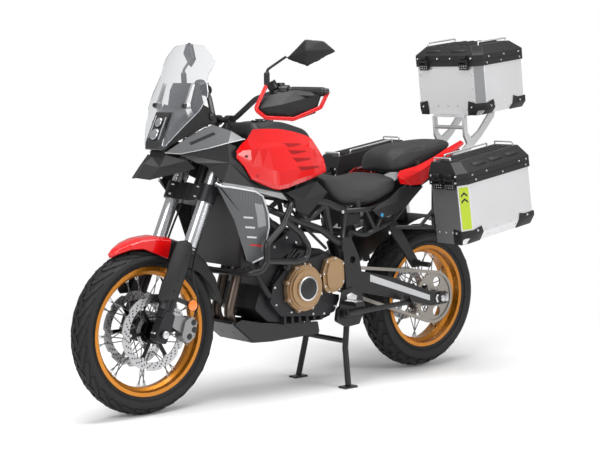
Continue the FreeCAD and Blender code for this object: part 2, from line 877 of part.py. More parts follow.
def main_frame():
    """Trellis, pivot plates, stand pins and the steering head."""
    rails = []
    rails.append(tube([(1218, 24, 885), (1130, 75, 850), (891, HALF, 742), (722, HALF, 685),
                       (638, HALF, 629), (590, HALF + 2, 596)], TUBE, 60))
    rails.append(tube([(1180, 24, 985), (1090, 95, 925), (930, HALF, 838), (682, HALF, 791),
                       (581, HALF, 751)], TUBE, 60))
    rails.append(tube([(870, HALF, 818), (793, HALF, 722)], SUB))
    rails.append(tube([(793, HALF, 722), (690, HALF, 786)], SUB))
    rails.append(tube([(690, HALF, 786), (660, HALF, 650)], SUB))
    rails.append(tube([(581, HALF, 751), (600, HALF, 610)], SUB))
    pivot_plate = plate([(616, 640), (566, 640), (520, 560), (500, 470), (500, 392), (486, 330),
                         (516, 268), (590, 262), (648, 292), (640, 344), (588, 372), (596, 470),
                         (606, 560)], LEFT, HALF + 4, HALF + 20, 12)
    hole = rod((556, HALF - 1, 545), (556, HALF + 30, 545), 16)
    pin = rod((float(D.centre_stand_x), 100, float(D.centre_stand_z)),
              (float(D.centre_stand_x), HALF + 4, float(D.centre_stand_z)), D.stand_pin_radius)
    half = joined(*rails, pivot_plate.cut(hole), pin)
    cross = rod((552, -HALF, 655), (552, HALF, 655), 16)
    ties = [rod((552, side * HALF, 655), (575, side * (HALF + 8), 628), 14) for side in (1, -1)]
    shaft = rod((PIVOT[0], -HALF - 20, PIVOT[1]), (PIVOT[0], HALF + 20, PIVOT[1]), 10)
    body = joined(half, mirrored(half), cross, *ties, shaft, steering_head())
    return body.cut(stem_space())


# The axis that swings the side stand from its folded to its lowered place
STAND_FOLDED = Vector(-1, 0.02, 0.045).normalize()
STAND_LOWERED = Vector(0.30, 0.42, -0.86).normalize()
STAND_AXIS = STAND_FOLDED.cross(STAND_LOWERED).normalize()
STAND_PIVOT = Vector(float(D.side_stand_x), HALF + 34, float(D.side_stand_z))
PIN = float(D.stand_pin_radius)


def side_stand_pin():
    begin = STAND_PIVOT + STAND_AXIS * 16
    return Part.makeCylinder(PIN, 36, begin - STAND_AXIS * 36, STAND_AXIS)


def side_stand():
    """The folded stand: boss, leg and foot."""
    boss = Part.makeCylinder(19, 16, STAND_PIVOT - STAND_AXIS * 8, STAND_AXIS)
    end = STAND_PIVOT + STAND_FOLDED * 372
    leg = Part.makeCylinder(11, 372, STAND_PIVOT, STAND_FOLDED)
    foot = Part.makeBox(70, 44, 7, Vector(-35, -22, -3.5))
    foot.Placement = Placement(end, Rotation(Vector(0, 0, 1), Vector(-0.82, 0.1, 0.55)))
    hole = Part.makeCylinder(PIN + float(D.shaft_play), 60, STAND_PIVOT - STAND_AXIS * 30, STAND_AXIS)
    return joined(boss, leg, foot.copy()).cut(hole)


frame_shape = main_frame()
stand_room = Part.makeCylinder(28, 22, STAND_PIVOT - STAND_AXIS * 11, STAND_AXIS)
frame_shape = joined(fitted(frame_shape, stand_room), side_stand_pin())
node("frame", frame_shape, CHASSIS)
node("side_stand", side_stand(), CHASSIS)


def centre_stand():
    """Two splayed legs with feet, a cross tube and bosses on the pivot pins."""
    x, z = float(D.centre_stand_x), float(D.centre_stand_z)
    parts = []
    for side in (1, -1):
        parts.append(rod((x, side * 106, z), (x, side * 138, z), 18))
        parts.append(tube([(x, side * 122, z), (x + 16, side * 128, z - 120),
                           (x + 28, side * 160, 10)], 13, 60))
        parts.append(block((x - 6, x + 64), (side * 160 - 22, side * 160 + 22), (0, 8)))
    parts.append(rod((x + 12, -124, z - 92), (x + 12, 124, z - 92), 11))
    holes = [rod((x, side * 100, z), (x, side * 150, z), PIN + float(D.shaft_play))
             for side in (1, -1)]
    return joined(*parts).cut(holes)


node("centre_stand", centre_stand(), CHASSIS)


# Subframe with the pannier racks
def subframe():
    rails = []
    rails.append(tube([(581, HALF, 751), (440, HALF, 750), (329, 138, 772), (150, 130, 858),
                       (-120, 110, 945)], SUB, 60))
    rails.append(tube([(560, HALF, 660), (465, HALF, 642), (299, HALF - 5, 690), (110, 125, 835)],
                      SUB, 60))
    rails.append(tube([(465, HALF, 753), (406, HALF, 660)], 9))
    rails.append(tube([(406, HALF, 655), (329, 143, 775)], 9))
    hanger = plate([(330, 668), (290, 612), (182, 478), (150, 482), (158, 516), (286, 690)], LEFT,
                   HALF - 3, HALF + 9, 8)
    rack = ring_tube([(172, 268, 868), (172, 268, 652), (-186, 268, 704), (-186, 268, 915)],
                     D.rack_tube_radius, 30)
    struts = [tube([(172, 268, 664), (290, HALF + 4, 664)], 9),
              rod((172, 268, 740), (214, 226, 664), 8),
              tube([(-100, 268, 905), (-100, 118, 938)], 9)]
    pucks = [rod((x, 268, z), (x, 290, z), 12) for x, z in
             ((172, 800), (172, 715), (-186, 770), (-186, 860))]
    half = joined(*rails, hanger, rack, *struts, *pucks)
    cross = [rod((-110, -113, 942), (-110, 113, 942), SUB), rod((300, -143, 690), (300, 143, 690), SUB)]
    return joined(half, mirrored(half), *cross)


sub_shape = fitted(subframe(), frame_shape)
node("subframe", sub_shape, CHASSIS)


# Engine
def engine():
    case = plate([(612, 360), (612, 560), (700, 600), (770, 585), (835, 690), (895, 672), (1035, 598),
                  (1038, 545), (1005, 470), (1036, 415), (1048, 377), (980, 322), (862, 303),
                  (696, 298), (640, 312)], LEFT, -118, 118, 14)
    gearbox = plate([(612, 380), (612, 540), (700, 580), (800, 560), (900, 540), (975, 470), (990, 400),
                     (930, 340), (700, 320), (640, 330)], LEFT, -146, 146, 14)
    head = plate([(800, 640), (835, 697), (895, 680), (1040, 604), (1046, 560), (1000, 540)], LEFT,
                 -142, 142, 10)
    ribs = []
    for index in range(5):
        ahead, above = 11 * index, 22 * index
        ribs.append(plate([(972 - ahead, 462 + above * 0.62), (978 - ahead, 470 + above * 0.62),
                           (806 + ahead * 0.5, 566 + above), (800 + ahead * 0.5, 558 + above)], LEFT,
                          -130, 130))
    sump = [plate([(700 + 40 * index, 303), (712 + 40 * index, 303), (712 + 40 * index, 340),
                   (700 + 40 * index, 340)], LEFT, -140, 140) for index in range(6)]
    whole = joined(case, gearbox, head, *ribs, *sump)
    drive_room = joined(rod((float(D.drive_x), 86, float(D.drive_z)),
                            (float(D.drive_x), 150, float(D.drive_z)), 58),
                        block((590, 650), (86, 150), (400, 560)))
    return whole.cut(drive_room)


engine_shape = fitted(engine(), frame_shape)
node("engine", engine_shape, CHASSIS)


def engine_covers():
    """The bronze covers: generator and drive sprocket on the left, clutch on the right."""
    centre_x, centre_z = 822, 449
    steps = ((95, 146, 168), (88, 168, 176), (78, 176, 184), (54, 184, 190))
    generator = joined(*[rod((centre_x, begin, centre_z), (centre_x, end, centre_z), radius)
                         for radius, begin, end in steps])
    bosses = []
    for index in range(8):
        angle = math.pi * (index + 0.4) / 4
        x, z = centre_x + 95 * math.cos(angle), centre_z + 95 * math.sin(angle)
        bosses.append(rod((x, 146, z), (x, 166, z), 9))
    drive = plate([(600, 452), (600, 540), (650, 566), (700, 556), (722, 500), (715, 440), (690, 414),
                   (628, 420)], LEFT, 146, 166, 16)
    step = plate([(616, 460), (616, 530), (654, 550), (690, 542), (704, 498), (698, 450), (682, 430),
                  (636, 434)], LEFT, 166, 174, 12)
    clutch = joined(rod((800, -146, 440), (800, -172, 440), 108), rod((800, -172, 440), (800, -182, 440), 96),
                    rod((800, -182, 440), (800, -190, 440), 60))
    water = rod((935, -146, 400), (935, -168, 400), 42)
    generator = joined(generator, *bosses)
    return [fitted(joined(drive, step), generator, frame_shape), generator, clutch,
            fitted(water, clutch)]


node("engine_covers", Part.makeCompound(engine_covers()), CHASSIS)


# Radiator and exhaust
def radiator():
    core = plate([(1128, 570), (1160, 562), (1152, 846), (1122, 852)], LEFT, -165, 165, 4)
    tanks = [plate([(1122, 566), (1166, 558), (1156, 850), (1116, 856)], LEFT, side * 165 - 6,
                   side * 165 + 10 if side > 0 else side * 165 + 6, 6) for side in (1, -1)]
    ears = [block((1090, 1140), (side * 120 - 8, side * 120 + 8), (700, 716)) for side in (1, -1)]
    return joined(core, *tanks, *ears)


radiator_shape = fitted(radiator(), frame_shape)
node("radiator", radiator_shape, CHASSIS)


def exhaust():
    pipes = [tube([(1020, side * 42, 584), (1066, side * 42, 548), (1094, side * 42, 460),
                   (1124, side * 42, 366), (1090, side * 40, 284), (1000, side * 32, 274),
                   (900, side * 26, 276)], 21, 60)
             for side in (1, -1)]
    flanges = [rod((1010, side * 42, 590), (1040, side * 42, 570), 34) for side in (1, -1)]
    collector = tube([(905, 0, 279), (720, -60, 279)], 19)
    joint = block((880, 925), (-46, 46), (260, 298))
    link = tube([(730, -56, 279), (660, -120, 284), (585, -212, 330), (500, -222, 392),
                 (390, -222, 440)], 19, 60)
    muffler_place = Placement(point(395, -222, 442), Rotation(Vector(0, 0, 1), Vector(-0.93, -0.02, 0.37)))
    outline = [Vector(-40, -60, 0), Vector(40, -60, 0), Vector(40, 60, 0), Vector(-40, 60, 0)]
    can = Part.Face(path(outline, 26, closed=True)).extrude(Vector(0, 0, 430))
    can.Placement = muffler_place.multiply(Placement(Vector(), Rotation(Vector(0, 0, 1), 90)))
    end = Part.makeCylinder(24, 30, Vector(0, 0, 430), Vector(0, 0, 1))
    end.Placement = muffler_place
    return joined(*pipes, *flanges, collector, joint, link, can.copy(), end.copy())


exhaust_shape = fitted(exhaust(), engine_shape, frame_shape)
node("exhaust", exhaust_shape, CHASSIS)


def skid_plate():
    floor = plate([(690, 250), (690, 238), (950, 234), (1052, 240), (1158, 328), (1150, 338),
                   (1046, 251), (950, 246)], LEFT, -105, 105, 2)
    sides = [plate([(690, 244), (950, 240), (1050, 246), (1148, 328), (1106, 340), (1010, 318),
                    (860, 300), (700, 292)], LEFT, 105 if side > 0 else -110, 110 if side > 0 else -105,
                   6) for side in (1, -1)]
    lugs = [block((760, 790), (side * 75 - 15, side * 75 + 15), (242, 312)) for side in (1, -1)]
    return joined(floor, *sides, *lugs)


skid_shape = fitted(skid_plate(), exhaust_shape, engine_shape, frame_shape)
node("skid_plate", skid_shape, CHASSIS)


# Crash bars
def crash_bars():
    hoop = tube([(905, HALF, 795), (943, 228, 808), (1004, 246, 727), (1100, 255, 655),
                 (1098, 255, 585), (1120, 248, 552), (1154, 222, 544), (1170, 140, 542),
                 (1166, 0, 538)], D.crash_tube_radius, 34)
    branch = tube([(990, 243, 744), (902, 233, 686), (852, 227, 626), (866, 227, 580),
                   (928, 232, 573), (1092, 252, 590)], D.crash_tube_radius, 34)
    foot = rod((850, 140, 622), (850, 226, 622), 12)
    stay = rod((905, HALF, 795), (905, HALF, 833), 10)
    half = joined(hoop, branch, foot, stay)
    return joined(half, mirrored(half))


crash_shape = fitted(crash_bars(), frame_shape, engine_shape, radiator_shape, exhaust_shape)
node("crash_bars", crash_shape, CHASSIS)


# Swingarm, chain and shock
WHEEL_Z = float(D.rear_axle_height)


def swingarm():
    """Two arms, a cross member, the pivot tube and the rear axle."""
    arm = plate([(566, 470), (478, 487), (300, 446), (120, 384), (60, 360), (-38, 352), (-52, 340),
                 (-52, 312), (-38, 300), (60, 298), (255, 345), (483, 396), (566, 410)], LEFT, 118, HALF,
                14)
    arm = arm.cut(rod((PIVOT[0], 100, PIVOT[1]), (PIVOT[0], HALF + 5, PIVOT[1]), 10))
    pivot = rod((PIVOT[0], -120, PIVOT[1]), (PIVOT[0], 120, PIVOT[1]), 22)
    pivot = pivot.cut(rod((PIVOT[0], -130, PIVOT[1]), (PIVOT[0], 130, PIVOT[1]), 10))
    bridge = block((395, 470), (-119, 119), (424, 466))
    axle_bar = rod((0, -HALF - 16, WHEEL_Z), (0, HALF + 16, WHEEL_Z), D.axle_radius)
    blocks = [rod((0, side * HALF, WHEEL_Z), (0, side * (HALF + 9), WHEEL_Z), 26) for side in (1, -1)]
    return joined(arm, mirrored(arm), pivot, bridge, axle_bar, *blocks)


def chain_loop():
    """The closed loop of plates on both sides of the sprockets, with pins on the straights."""
    big = float(D.sprocket_radius)
    small = float(D.drive_sprocket_radius)
    run_x, run_z = float(D.drive_x), float(D.drive_z) - WHEEL_Z
    span = math.hypot(run_x, run_z)
    lift = math.asin((big - small) / span)
    base = math.atan2(run_z, run_x)
    half = float(D.chain_half_height)

    def loop(grow):
        rear, front = big + grow, small + grow
        top, low = base + math.pi / 2 - lift, base - math.pi / 2 + lift
        spots = []
        for angle, middle, radius in ((top, (0, 0), rear), (base + math.pi, (0, 0), rear),
                                      (low, (0, 0), rear), (low, (run_x, run_z), front),
                                      (base, (run_x, run_z), front), (top, (run_x, run_z), front)):
            spots.append(Vector(middle[0] + radius * math.cos(angle), 0,
                                WHEEL_Z + middle[1] + radius * math.sin(angle)))
        edges = [Part.Arc(spots[0], spots[1], spots[2]).toShape(),
                 Part.LineSegment(spots[2], spots[3]).toShape(),
                 Part.Arc(spots[3], spots[4], spots[5]).toShape(),
                 Part.LineSegment(spots[5], spots[0]).toShape()]
        return Part.Face(Part.Wire(edges)), spots

    outer, spots = loop(half)
    inner, inner_spots = loop(-half)
    band = outer.cut(inner)
    plates = []
    gap = float(D.sprocket_half) + 1.5
    thick = float(D.chain_plate)
    for side in (-1, 1):
        low = float(D.chain_across) + (gap if side > 0 else -gap - thick)
        ribbon = band.copy()
        ribbon.translate(Vector(0, low, 0))
        plates.append(ribbon.extrude(Vector(0, thick, 0)))
    pins = []
    width = gap + thick
    for first, last in (((spots[2] + inner_spots[2]) / 2, (spots[3] + inner_spots[3]) / 2),
                        ((spots[0] + inner_spots[0]) / 2, (spots[5] + inner_spots[5]) / 2)):
        count = 8
        for index in range(2, count - 1):
            spot = first + (last - first) * (index / count)
            pins.append(wire_bar((spot.x, float(D.chain_across) - width, spot.z),
                                 (spot.x, float(D.chain_across) + width, spot.z), 4))
    return joined(*plates, *pins)


def rear_caliper():
    """The rear brake's caliper above the right arm."""
    body = plate([(92, 372), (60, 398), (72, 432), (118, 424), (136, 388), (120, 362)], LEFT, -118,
                 -66, 8)
    return body.cut(rod((0, -81, WHEEL_Z), (0, -71, WHEEL_Z), float(D.rear_disc_radius) + 5))


swing_shape = fitted(joined(swingarm(), rear_caliper()), frame_shape, engine_shape)
node("swingarm", swing_shape, CHASSIS)
chain_shape = fitted(chain_loop(), swing_shape, engine_shape)
node("drive_chain", chain_shape, CHASSIS)


def rear_shock():
    damper = rod((452, 0, 470), (520, 0, 640), 22)
    spring = rod((468, 0, 510), (508, 0, 610), 34)
    return joined(damper, spring)


shock_shape = fitted(rear_shock(), swing_shape, frame_shape)
node("rear_shock", shock_shape, CHASSIS)


def footrests():
    """Rider pegs with their plates, pillion pegs and the heel guards."""
    parts = []
    plate_shape = plate([(622, 420), (560, 430), (520, 392), (540, 352), (640, 352)], LEFT, HALF + 21,
                        HALF + 28, 10)
    peg = block((576, 624), (HALF + 28, 262), (362, 378))
    pillion = rod((165, HALF + 10, 497), (165, HALF + 90, 497), 11)
    pillion_base = rod((165, HALF + 9, 497), (165, HALF + 22, 497), 17)
    parts.append(joined(plate_shape, peg))
    parts.append(joined(pillion, pillion_base))
    return parts + [mirrored(shape) for shape in parts]


rest_shape = Part.makeCompound([fitted(shape, frame_shape, sub_shape, exhaust_shape)
                                for shape in footrests()])
node("footrests", rest_shape, CHASSIS)


# Tank
def tank_body():
    rows = [
        (664, [(60, 925), (110, 932), (106, 948), (96, 966), (60, 985)]),
        (692, [(65, 902), (118, 912), (112, 970), (97, 1005), (62, 1040)]),
        (720, [(70, 872), (128, 900), (116, 1000), (96, 1046), (62, 1086)]),
        (768, [(80, 834), (144, 893), (128, 1018), (101, 1063), (64, 1106)]),
        (830, [(80, 818), (164, 893), (140, 1028), (111, 1076), (70, 1122)]),
        (930, [(80, 832), (184, 890), (154, 1033), (118, 1090), (86, 1130)]),
        (1010, [(80, 906), (194, 912), (166, 1033), (126, 1090), (94, 1126)]),
        (1060, [(76, 932), (186, 936), (160, 1036), (112, 1068), (76, 1082)]),
    ]
    return loft(rows, 22)


tank_feet = [fitted(rod((x, side * 142, 806), (x, side * 142, 884), 10), frame_shape)
             for side in (1, -1) for x in (760, 850)]
tank_shape = fitted(joined(tank_body(), *tank_feet), frame_shape)
node("fuel_tank", tank_shape, CHASSIS)


def tank_panel():
    """The red skin on the tank's left side, with its folds and creases."""
    rows = [
        (1203, [(202, 1002), (203, 1006), (204, 1012), (204, 1018), (203, 1022), (201, 1027)]),
        (1168, [(207, 966), (209, 976), (208, 1000), (204, 1028), (195, 1042), (189, 1053)]),
        (1134, [(211, 914), (214, 926), (212, 968), (205, 1028), (191, 1052), (181, 1071)]),
        (1083, [(213, 893), (218, 906), (214, 960), (198, 1030), (184, 1052), (154, 1106)]),
        (1030, [(218, 872), (225, 886), (219, 944), (191, 1032), (175, 1052), (149, 1107)]),
        (1000, [(218, 866), (226, 881), (219, 938), (186, 1034), (172, 1052), (146, 1106)]),
        (940, [(205, 870), (214, 888), (209, 938), (176, 1036), (162, 1052), (137, 1104)]),
        (890, [(190, 879), (198, 899), (195, 940), (166, 1036), (154, 1052), (129, 1098)]),
        (830, [(176, 888), (184, 908), (180, 946), (153, 1034), (144, 1050), (120, 1087)]),
        (768, [(158, 898), (163, 910), (159, 950), (138, 1024), (130, 1040), (110, 1073)]),
        (730, [(143, 905), (147, 914), (143, 950), (127, 1012), (119, 1030), (107, 1058)]),
        (692, [(131, 912), (133, 921), (130, 944), (118, 978), (113, 992), (106, 1014)]),
        (664, [(123, 919), (123, 926), (121, 938), (116, 952), (113, 960), (109, 972)]),
    ]
    panel = skin([[(x, y, z) for y, z in row] for x, row in rows], (0, -3.6, -2.4))
    spacers = [rod((890, 130, 1000), (890, 175.2, 1000), 4), rod((768, 110, 990), (768, 145.6, 990), 4)]
    return joined(panel, *[fitted(spacer, tank_shape) for spacer in spacers])


left_panel = tank_panel()
node("tank_panels", Part.makeCompound([left_panel, mirrored(left_panel)]), CHASSIS)


# Front bodywork
def front_cowl():
    """The nose behind the lamp, the flanks beside the screen and the beak below it."""
    nose = loft([
        (1326, [(60, 1130), (94, 1136), (84, 1180), (50, 1190)]),
        (1384, [(48, 1066), (72, 1080), (66, 1150), (40, 1168)]),
        (1424, [(26, 1026), (42, 1034), (40, 1092), (28, 1104)]),
    ], 12)
    flank = facets([(1428, 52, 1044), (1392, 94, 1138), (1343, 122, 1170), (1306, 132, 1205),
                    (1271, 120, 1193), (1240, 120, 1154), (1237, 122, 1138), (1262, 118, 1133),
                    (1360, 79, 1080)],
                   [(0, 1, 8), (1, 2, 8), (2, 7, 8), (2, 3, 7), (3, 4, 7), (4, 5, 7), (5, 6, 7)],
                   (-2, -4, 0))
    boss = rod((1263, 108, 1160), (1263, 124, 1160), 15)
    shelf = plate([(1236, 112), (1330, 98), (1345, 60), (1345, -60), (1330, -98), (1236, -112)], UP,
                  1128, 1133, 8)
    bracket = block((1196, 1340), (-14, 14), (1116, 1129))
    beak_left = facets([(1537, 0, 930), (1518, 58, 925), (1354, 130, 964), (1386, 120, 993),
                        (1440, 58, 1014), (1462, 0, 1006), (1499, 0, 980), (1476, 66, 968)],
                       fan(7), (-1.5, -1, -4))
    lower = plate([(1400, 1000), (1450, 1000), (1430, 1050), (1392, 1060)], LEFT, -40, 40, 4)
    half = joined(flank, boss)
    return joined(nose, lower, beak_left, mirrored(beak_left), half, mirrored(half), shelf, bracket)


cowl_shape = fitted(front_cowl(), frame_shape)
node("front_cowl", cowl_shape, CHASSIS)


def headlamp():
    """The lamp block, slanted back under the screen."""
    return plate([(1404, 1052), (1450, 1030), (1464, 1034), (1460, 1064), (1408, 1178), (1388, 1178)],
                 LEFT, -44, 44, 5)


lamp_shape = fitted(headlamp(), cowl_shape)
node("headlamp", lamp_shape, CHASSIS)


def side_fairing():
    """The grey wing, the dark shoulder, the blade, the shroud by the radiator and the knee panel."""
    inward = (-0.7, -4, -0.4)
    wing = facets([(1438, 50, 1021), (1360, 85, 1076), (1262, 125, 1128), (1204, 170, 1103),
                   (1150, 186, 1070), (1221, 170, 1056), (1288, 130, 1036), (1386, 80, 1016)],
                  [(0, 1, 7), (1, 6, 7), (1, 2, 6), (2, 5, 6), (2, 3, 5), (3, 4, 5)], inward)
    shoulder = facets([(1386, 80, 1016), (1288, 130, 1036), (1221, 170, 1056), (1186, 176, 1044),
                       (1180, 196, 975), (1134, 203, 906), (1134, 222, 882), (1270, 198, 907),
                       (1310, 152, 970), (1350, 138, 983), (1230, 190, 980)], fan(10), inward)
    blade = facets([(1284, 203, 892), (1270, 198, 907), (1134, 222, 882), (990, 222, 851),
                    (963, 226, 821), (1134, 228, 866), (1235, 214, 886)],
                   [(0, 1, 6), (1, 2, 6), (2, 5, 6), (2, 3, 5), (3, 4, 5)], inward)
    shroud = facets([(1284, 203, 892), (1235, 214, 886), (1134, 228, 866), (1100, 233, 846),
                     (1076, 236, 780), (1068, 232, 722), (1080, 212, 601), (1120, 192, 580),
                     (1146, 198, 653), (1188, 210, 780), (1140, 228, 770)], fan(10), inward)
    lip = facets([(1284, 203, 892), (1188, 210, 780), (1146, 198, 653), (1120, 192, 580),
                  (1142, 184, 590), (1204, 184, 755), (1294, 182, 905)],
                 [(0, 1, 6), (1, 5, 6), (1, 2, 5), (2, 4, 5), (2, 3, 4)], (-4, 0, 0))
    stay = fitted(rod((1140, 150, 770), (1140, 225.5, 770), 4), radiator_shape)
    knee = facets([(955, 206, 850), (745, 158, 884), (698, 170, 837), (807, 174, 749),
                   (882, 187, 772), (898, 190, 822), (840, 184, 815)], fan(6), (0, -4, 0))
    knee_stay = fitted(rod((830, HALF, 817), (830, 181, 817), 4), frame_shape)
    return [joined(wing, shoulder, blade, shroud, lip, stay), joined(knee, knee_stay)]


fairing = side_fairing()
node("side_fairings", Part.makeCompound(fairing + [mirrored(shape) for shape in fairing]), CHASSIS)


def windscreen():
    """A curved clear sheet with its outline cut from the front."""
    radius, wall = 437, 3.5
    lean = math.radians(23.7)
    along = Vector(-math.sin(lean), 0, math.cos(lean))
    back = Vector(-math.cos(lean), 0, -math.sin(lean))
    foot = Vector(1459, 0, 1040)
    base = foot + back * radius - along * 120
    shell = Part.makeCylinder(radius, 700, base, along).cut(
        Part.makeCylinder(radius - wall, 700, base, along))
    outline = [(0, 1443), (96, 1436), (168, 1380), (150, 1310), (182, 1245), (168, 1185), (66, 1047),
               (48, 1050), (36, 1130), (30, 1165)]
    right = [(-y, z) for y, z in reversed(outline) if y > 0]
    prism = plate(outline + right, FORWARD, 1200, 1520, [0, 60, 40, 50, 40, 40, 10, 10, 20, 20, 20, 20,
                                                         10, 10, 40, 40, 50, 40, 60])
    return shell.common(prism)


screen_shape = fitted(windscreen(), cowl_shape, lamp_shape)
node("windscreen", screen_shape, CHASSIS)


def instrument_panel():
    """The display, its backing plate and the screen's arms."""
    backing = plate([(1300, 1133), (1336, 1133), (1312, 1262), (1296, 1290), (1286, 1290)], LEFT, -82,
                    82, 3)
    display = plate([(1262, 1196), (1300, 1180), (1318, 1262), (1286, 1284)], LEFT, -76, 76, 4)
    arms = []
    for side in (1, -1):
        arms.append(plate([(1320, 1140), (1352, 1150), (1374, 1196), (1336, 1290), (1324, 1286),
                           (1352, 1200), (1330, 1170)], LEFT, side * 93 - 5, side * 93 + 5, 3))
        arms.append(rod((1300, side * 93, 1150), (1300, side * 70, 1150), 6))
        arms.append(rod((1352, side * 93, 1202), (1396, side * 93, 1202), 12))
    return joined(joined(backing, display), *arms)


panel_shape = fitted(instrument_panel(), cowl_shape, screen_shape)
node("instrument_panel", panel_shape, CHASSIS)


# Seats
def rider_seat():
    pad = loft([
        (672, [(30, 878), (78, 886), (72, 898), (30, 903)]),
        (640, [(50, 832), (104, 850), (90, 894), (40, 906)]),
        (590, [(80, 774), (132, 788), (100, 881), (40, 898)]),
        (530, [(100, 769), (152, 778), (112, 866), (50, 885)]),
        (450, [(110, 769), (162, 778), (132, 853), (60, 878)]),
        (390, [(110, 777), (164, 788), (138, 856), (66, 884)]),
        (320, [(104, 798), (158, 810), (136, 868), (68, 892)]),
        (266, [(80, 834), (138, 846), (124, 872), (60, 884)]),
    ], 16)
    feet = [fitted(rod((500, side * 142, 745), (500, side * 142, 782), 12), sub_shape)
            for side in (1, -1)]
    return joined(pad, *feet)


def pillion_seat():
    pad = loft([
        (262, [(46, 898), (82, 902), (76, 930), (42, 944)]),
        (236, [(66, 895), (116, 902), (104, 962), (58, 984)]),
        (180, [(80, 899), (130, 913), (114, 984), (64, 1004)]),
        (80, [(80, 921), (124, 935), (110, 996), (60, 1016)]),
        (-30, [(70, 952), (106, 967), (96, 1009), (52, 1024)]),
        (-120, [(48, 978), (80, 990), (72, 1012), (38, 1024)]),
        (-160, [(28, 993), (48, 999), (44, 1011), (24, 1016)]),
    ], 16)
    feet = [fitted(rod((120, side * 122, 862), (120, side * 122, 935), 10), sub_shape)
            for side in (1, -1)]
    return joined(pad, *feet)


rider_shape = rider_seat()
pillion_shape = pillion_seat()
node("rider_seat", rider_shape, CHASSIS)
node("pillion_seat", pillion_shape, CHASSIS)


# Tail
def tail_panel():
    """The red panel under the passenger's seat, drawn out to a tip."""
    rows = [
        [(266, 150, 893), (250, 146, 905), (142, 142, 922), (20, 126, 956), (-70, 108, 986),
         (-190, 88, 1021)],
        [(276, 156, 882), (240, 162, 868), (140, 160, 900), (30, 142, 938), (-80, 118, 970),
         (-208, 90, 1011)],
        [(262, 159, 850), (200, 160, 841), (132, 158, 841), (74, 150, 872), (-14, 134, 924),
         (-210, 88, 1003)],
    ]
    stay = fitted(rod((145, 128, 862), (145, 157.4, 890), 4), sub_shape)
    return joined(skin(rows, (0, -4, 0)), stay)


def side_cover():
    """The dark wedge under the tail panel and the inner panels behind the frame tubes."""
    wedge = facets([(270, 166, 834), (122, 158, 832), (240, 170, 752), (299, 174, 726), (392, 176, 708),
                    (442, 174, 744), (416, 170, 763), (330, 168, 796), (300, 178, 775)], fan(8),
                   (0, -4, 0))
    stay = fitted(rod((300, 137, 777), (300, 175.4, 777), 4), sub_shape)
    front = plate([(600, 740), (474, 742), (474, 690), (600, 682)], LEFT, 124, 130, 4)
    rear = plate([(452, 742), (404, 747), (330, 752), (316, 706), (400, 650), (452, 632)], LEFT, 124,
                 130, 4)
    tabs = [fitted(block((x, x + 16), (124, HALF), (low, low + 4)), sub_shape, frame_shape)
            for x, low in ((514, 737), (404, 743))]
    return [joined(wedge, stay), joined(front, tabs[0]), joined(rear, tabs[1])]


tail_left = tail_panel()
cover_left = side_cover()
node("tail_panels", Part.makeCompound([tail_left, mirrored(tail_left)]), CHASSIS)
node("side_covers", Part.makeCompound(cover_left + [mirrored(shape) for shape in cover_left]),
     CHASSIS)


def rear_fender():
    """The inner mudguard under the seat, the tail lamp's housing and the plate holder."""
    arch = fender_arc(362, 366, 88, 62, 118)
    arch.translate(Vector(0, 0, WHEEL_Z))
    tray = plate([(330, 734), (344, 734), (170, 792), (-60, 896), (-190, 952), (-196, 940), (-64, 884),
                  (160, 782)], LEFT, -84, 84, 3)
    lamp = plate([(-160, 940), (-196, 940), (-206, 980), (-180, 986)], LEFT, -70, 70, 6)
    holder = plate([(-186, 955), (-196, 948), (-330, 742), (-318, 736)], LEFT, -60, 60, 3)
    number = plate([(-318, 760), (-330, 742), (-392, 648), (-384, 644), (-322, 738), (-310, 754)], LEFT,
                   -95, 95, 2)
    web = plate([(96, 668), (116, 664), (150, 790), (120, 800)], LEFT, -40, 40)
    hangers = [fitted(rod((-110, side * 60, 905), (-110, side * 60, 942), 5), sub_shape)
               for side in (1, -1)]
    return joined(arch, tray, lamp, holder, number, web, *hangers)


node("rear_fender", rear_fender(), CHASSIS)


# Cases
def tilted(x, z, pitch):
    """A case's own frame: X forward along its floor, raised at the rear by its pitch."""
    turn = Rotation(Vector(0, 1, 0), float(pitch))
    return Placement(point(x, 0, z), turn)


PANNIER = tilted(D.pannier_x, D.pannier_z, D.pannier_pitch)
TOP_CASE = tilted(D.top_case_x, D.top_case_z, D.top_case_pitch)


WALL = float(D.case_wall)
FOLD = float(D.case_fold)
FOLD_ACROSS = float(D.case_fold_across)
GAP = float(D.lid_gap)
RIM = float(D.lid_rim)
BAND_DROP = float(D.band_drop)
BAND = float(D.band_grow)
PIN_AHEAD = float(D.hinge_ahead)
KNUCKLE = float(D.knuckle_radius)


def case_outline(grow=0):
    """A pannier's plan outline, its front outer corner cut at a slant."""
    half = float(D.pannier_length) / 2 + grow
    inner, outer = float(D.pannier_inner) - grow, float(D.pannier_outer) + grow
    return [(half, inner), (half, outer - 26), (half - 44, outer), (-half, outer), (-half, inner)]


def top_outline(grow=0):
    """The top case's plan outline with both front corners cut at a slant."""
    half = float(D.top_case_half) + grow
    length = float(D.top_case_length) / 2 + grow
    return [(length, 33 - half), (length, half - 33), (length - 34, half), (-length, half),
            (-length, -half), (length - 34, -half)]


def body_shape(outline, profile, inside, inner_profile, length, seam, band):
    """An open box with folded lower edges and a collar below its lid."""
    outer = plate(outline, UP, 0, seam, 8).common(plate(profile, FORWARD, -length, length, 6))
    collar = plate(band, UP, seam - BAND_DROP, seam, 6)
    room = plate(inside, UP, WALL, seam + 1, 5).common(
        plate(inner_profile, FORWARD, -length, length, 4))
    return joined(outer, collar).cut(room)


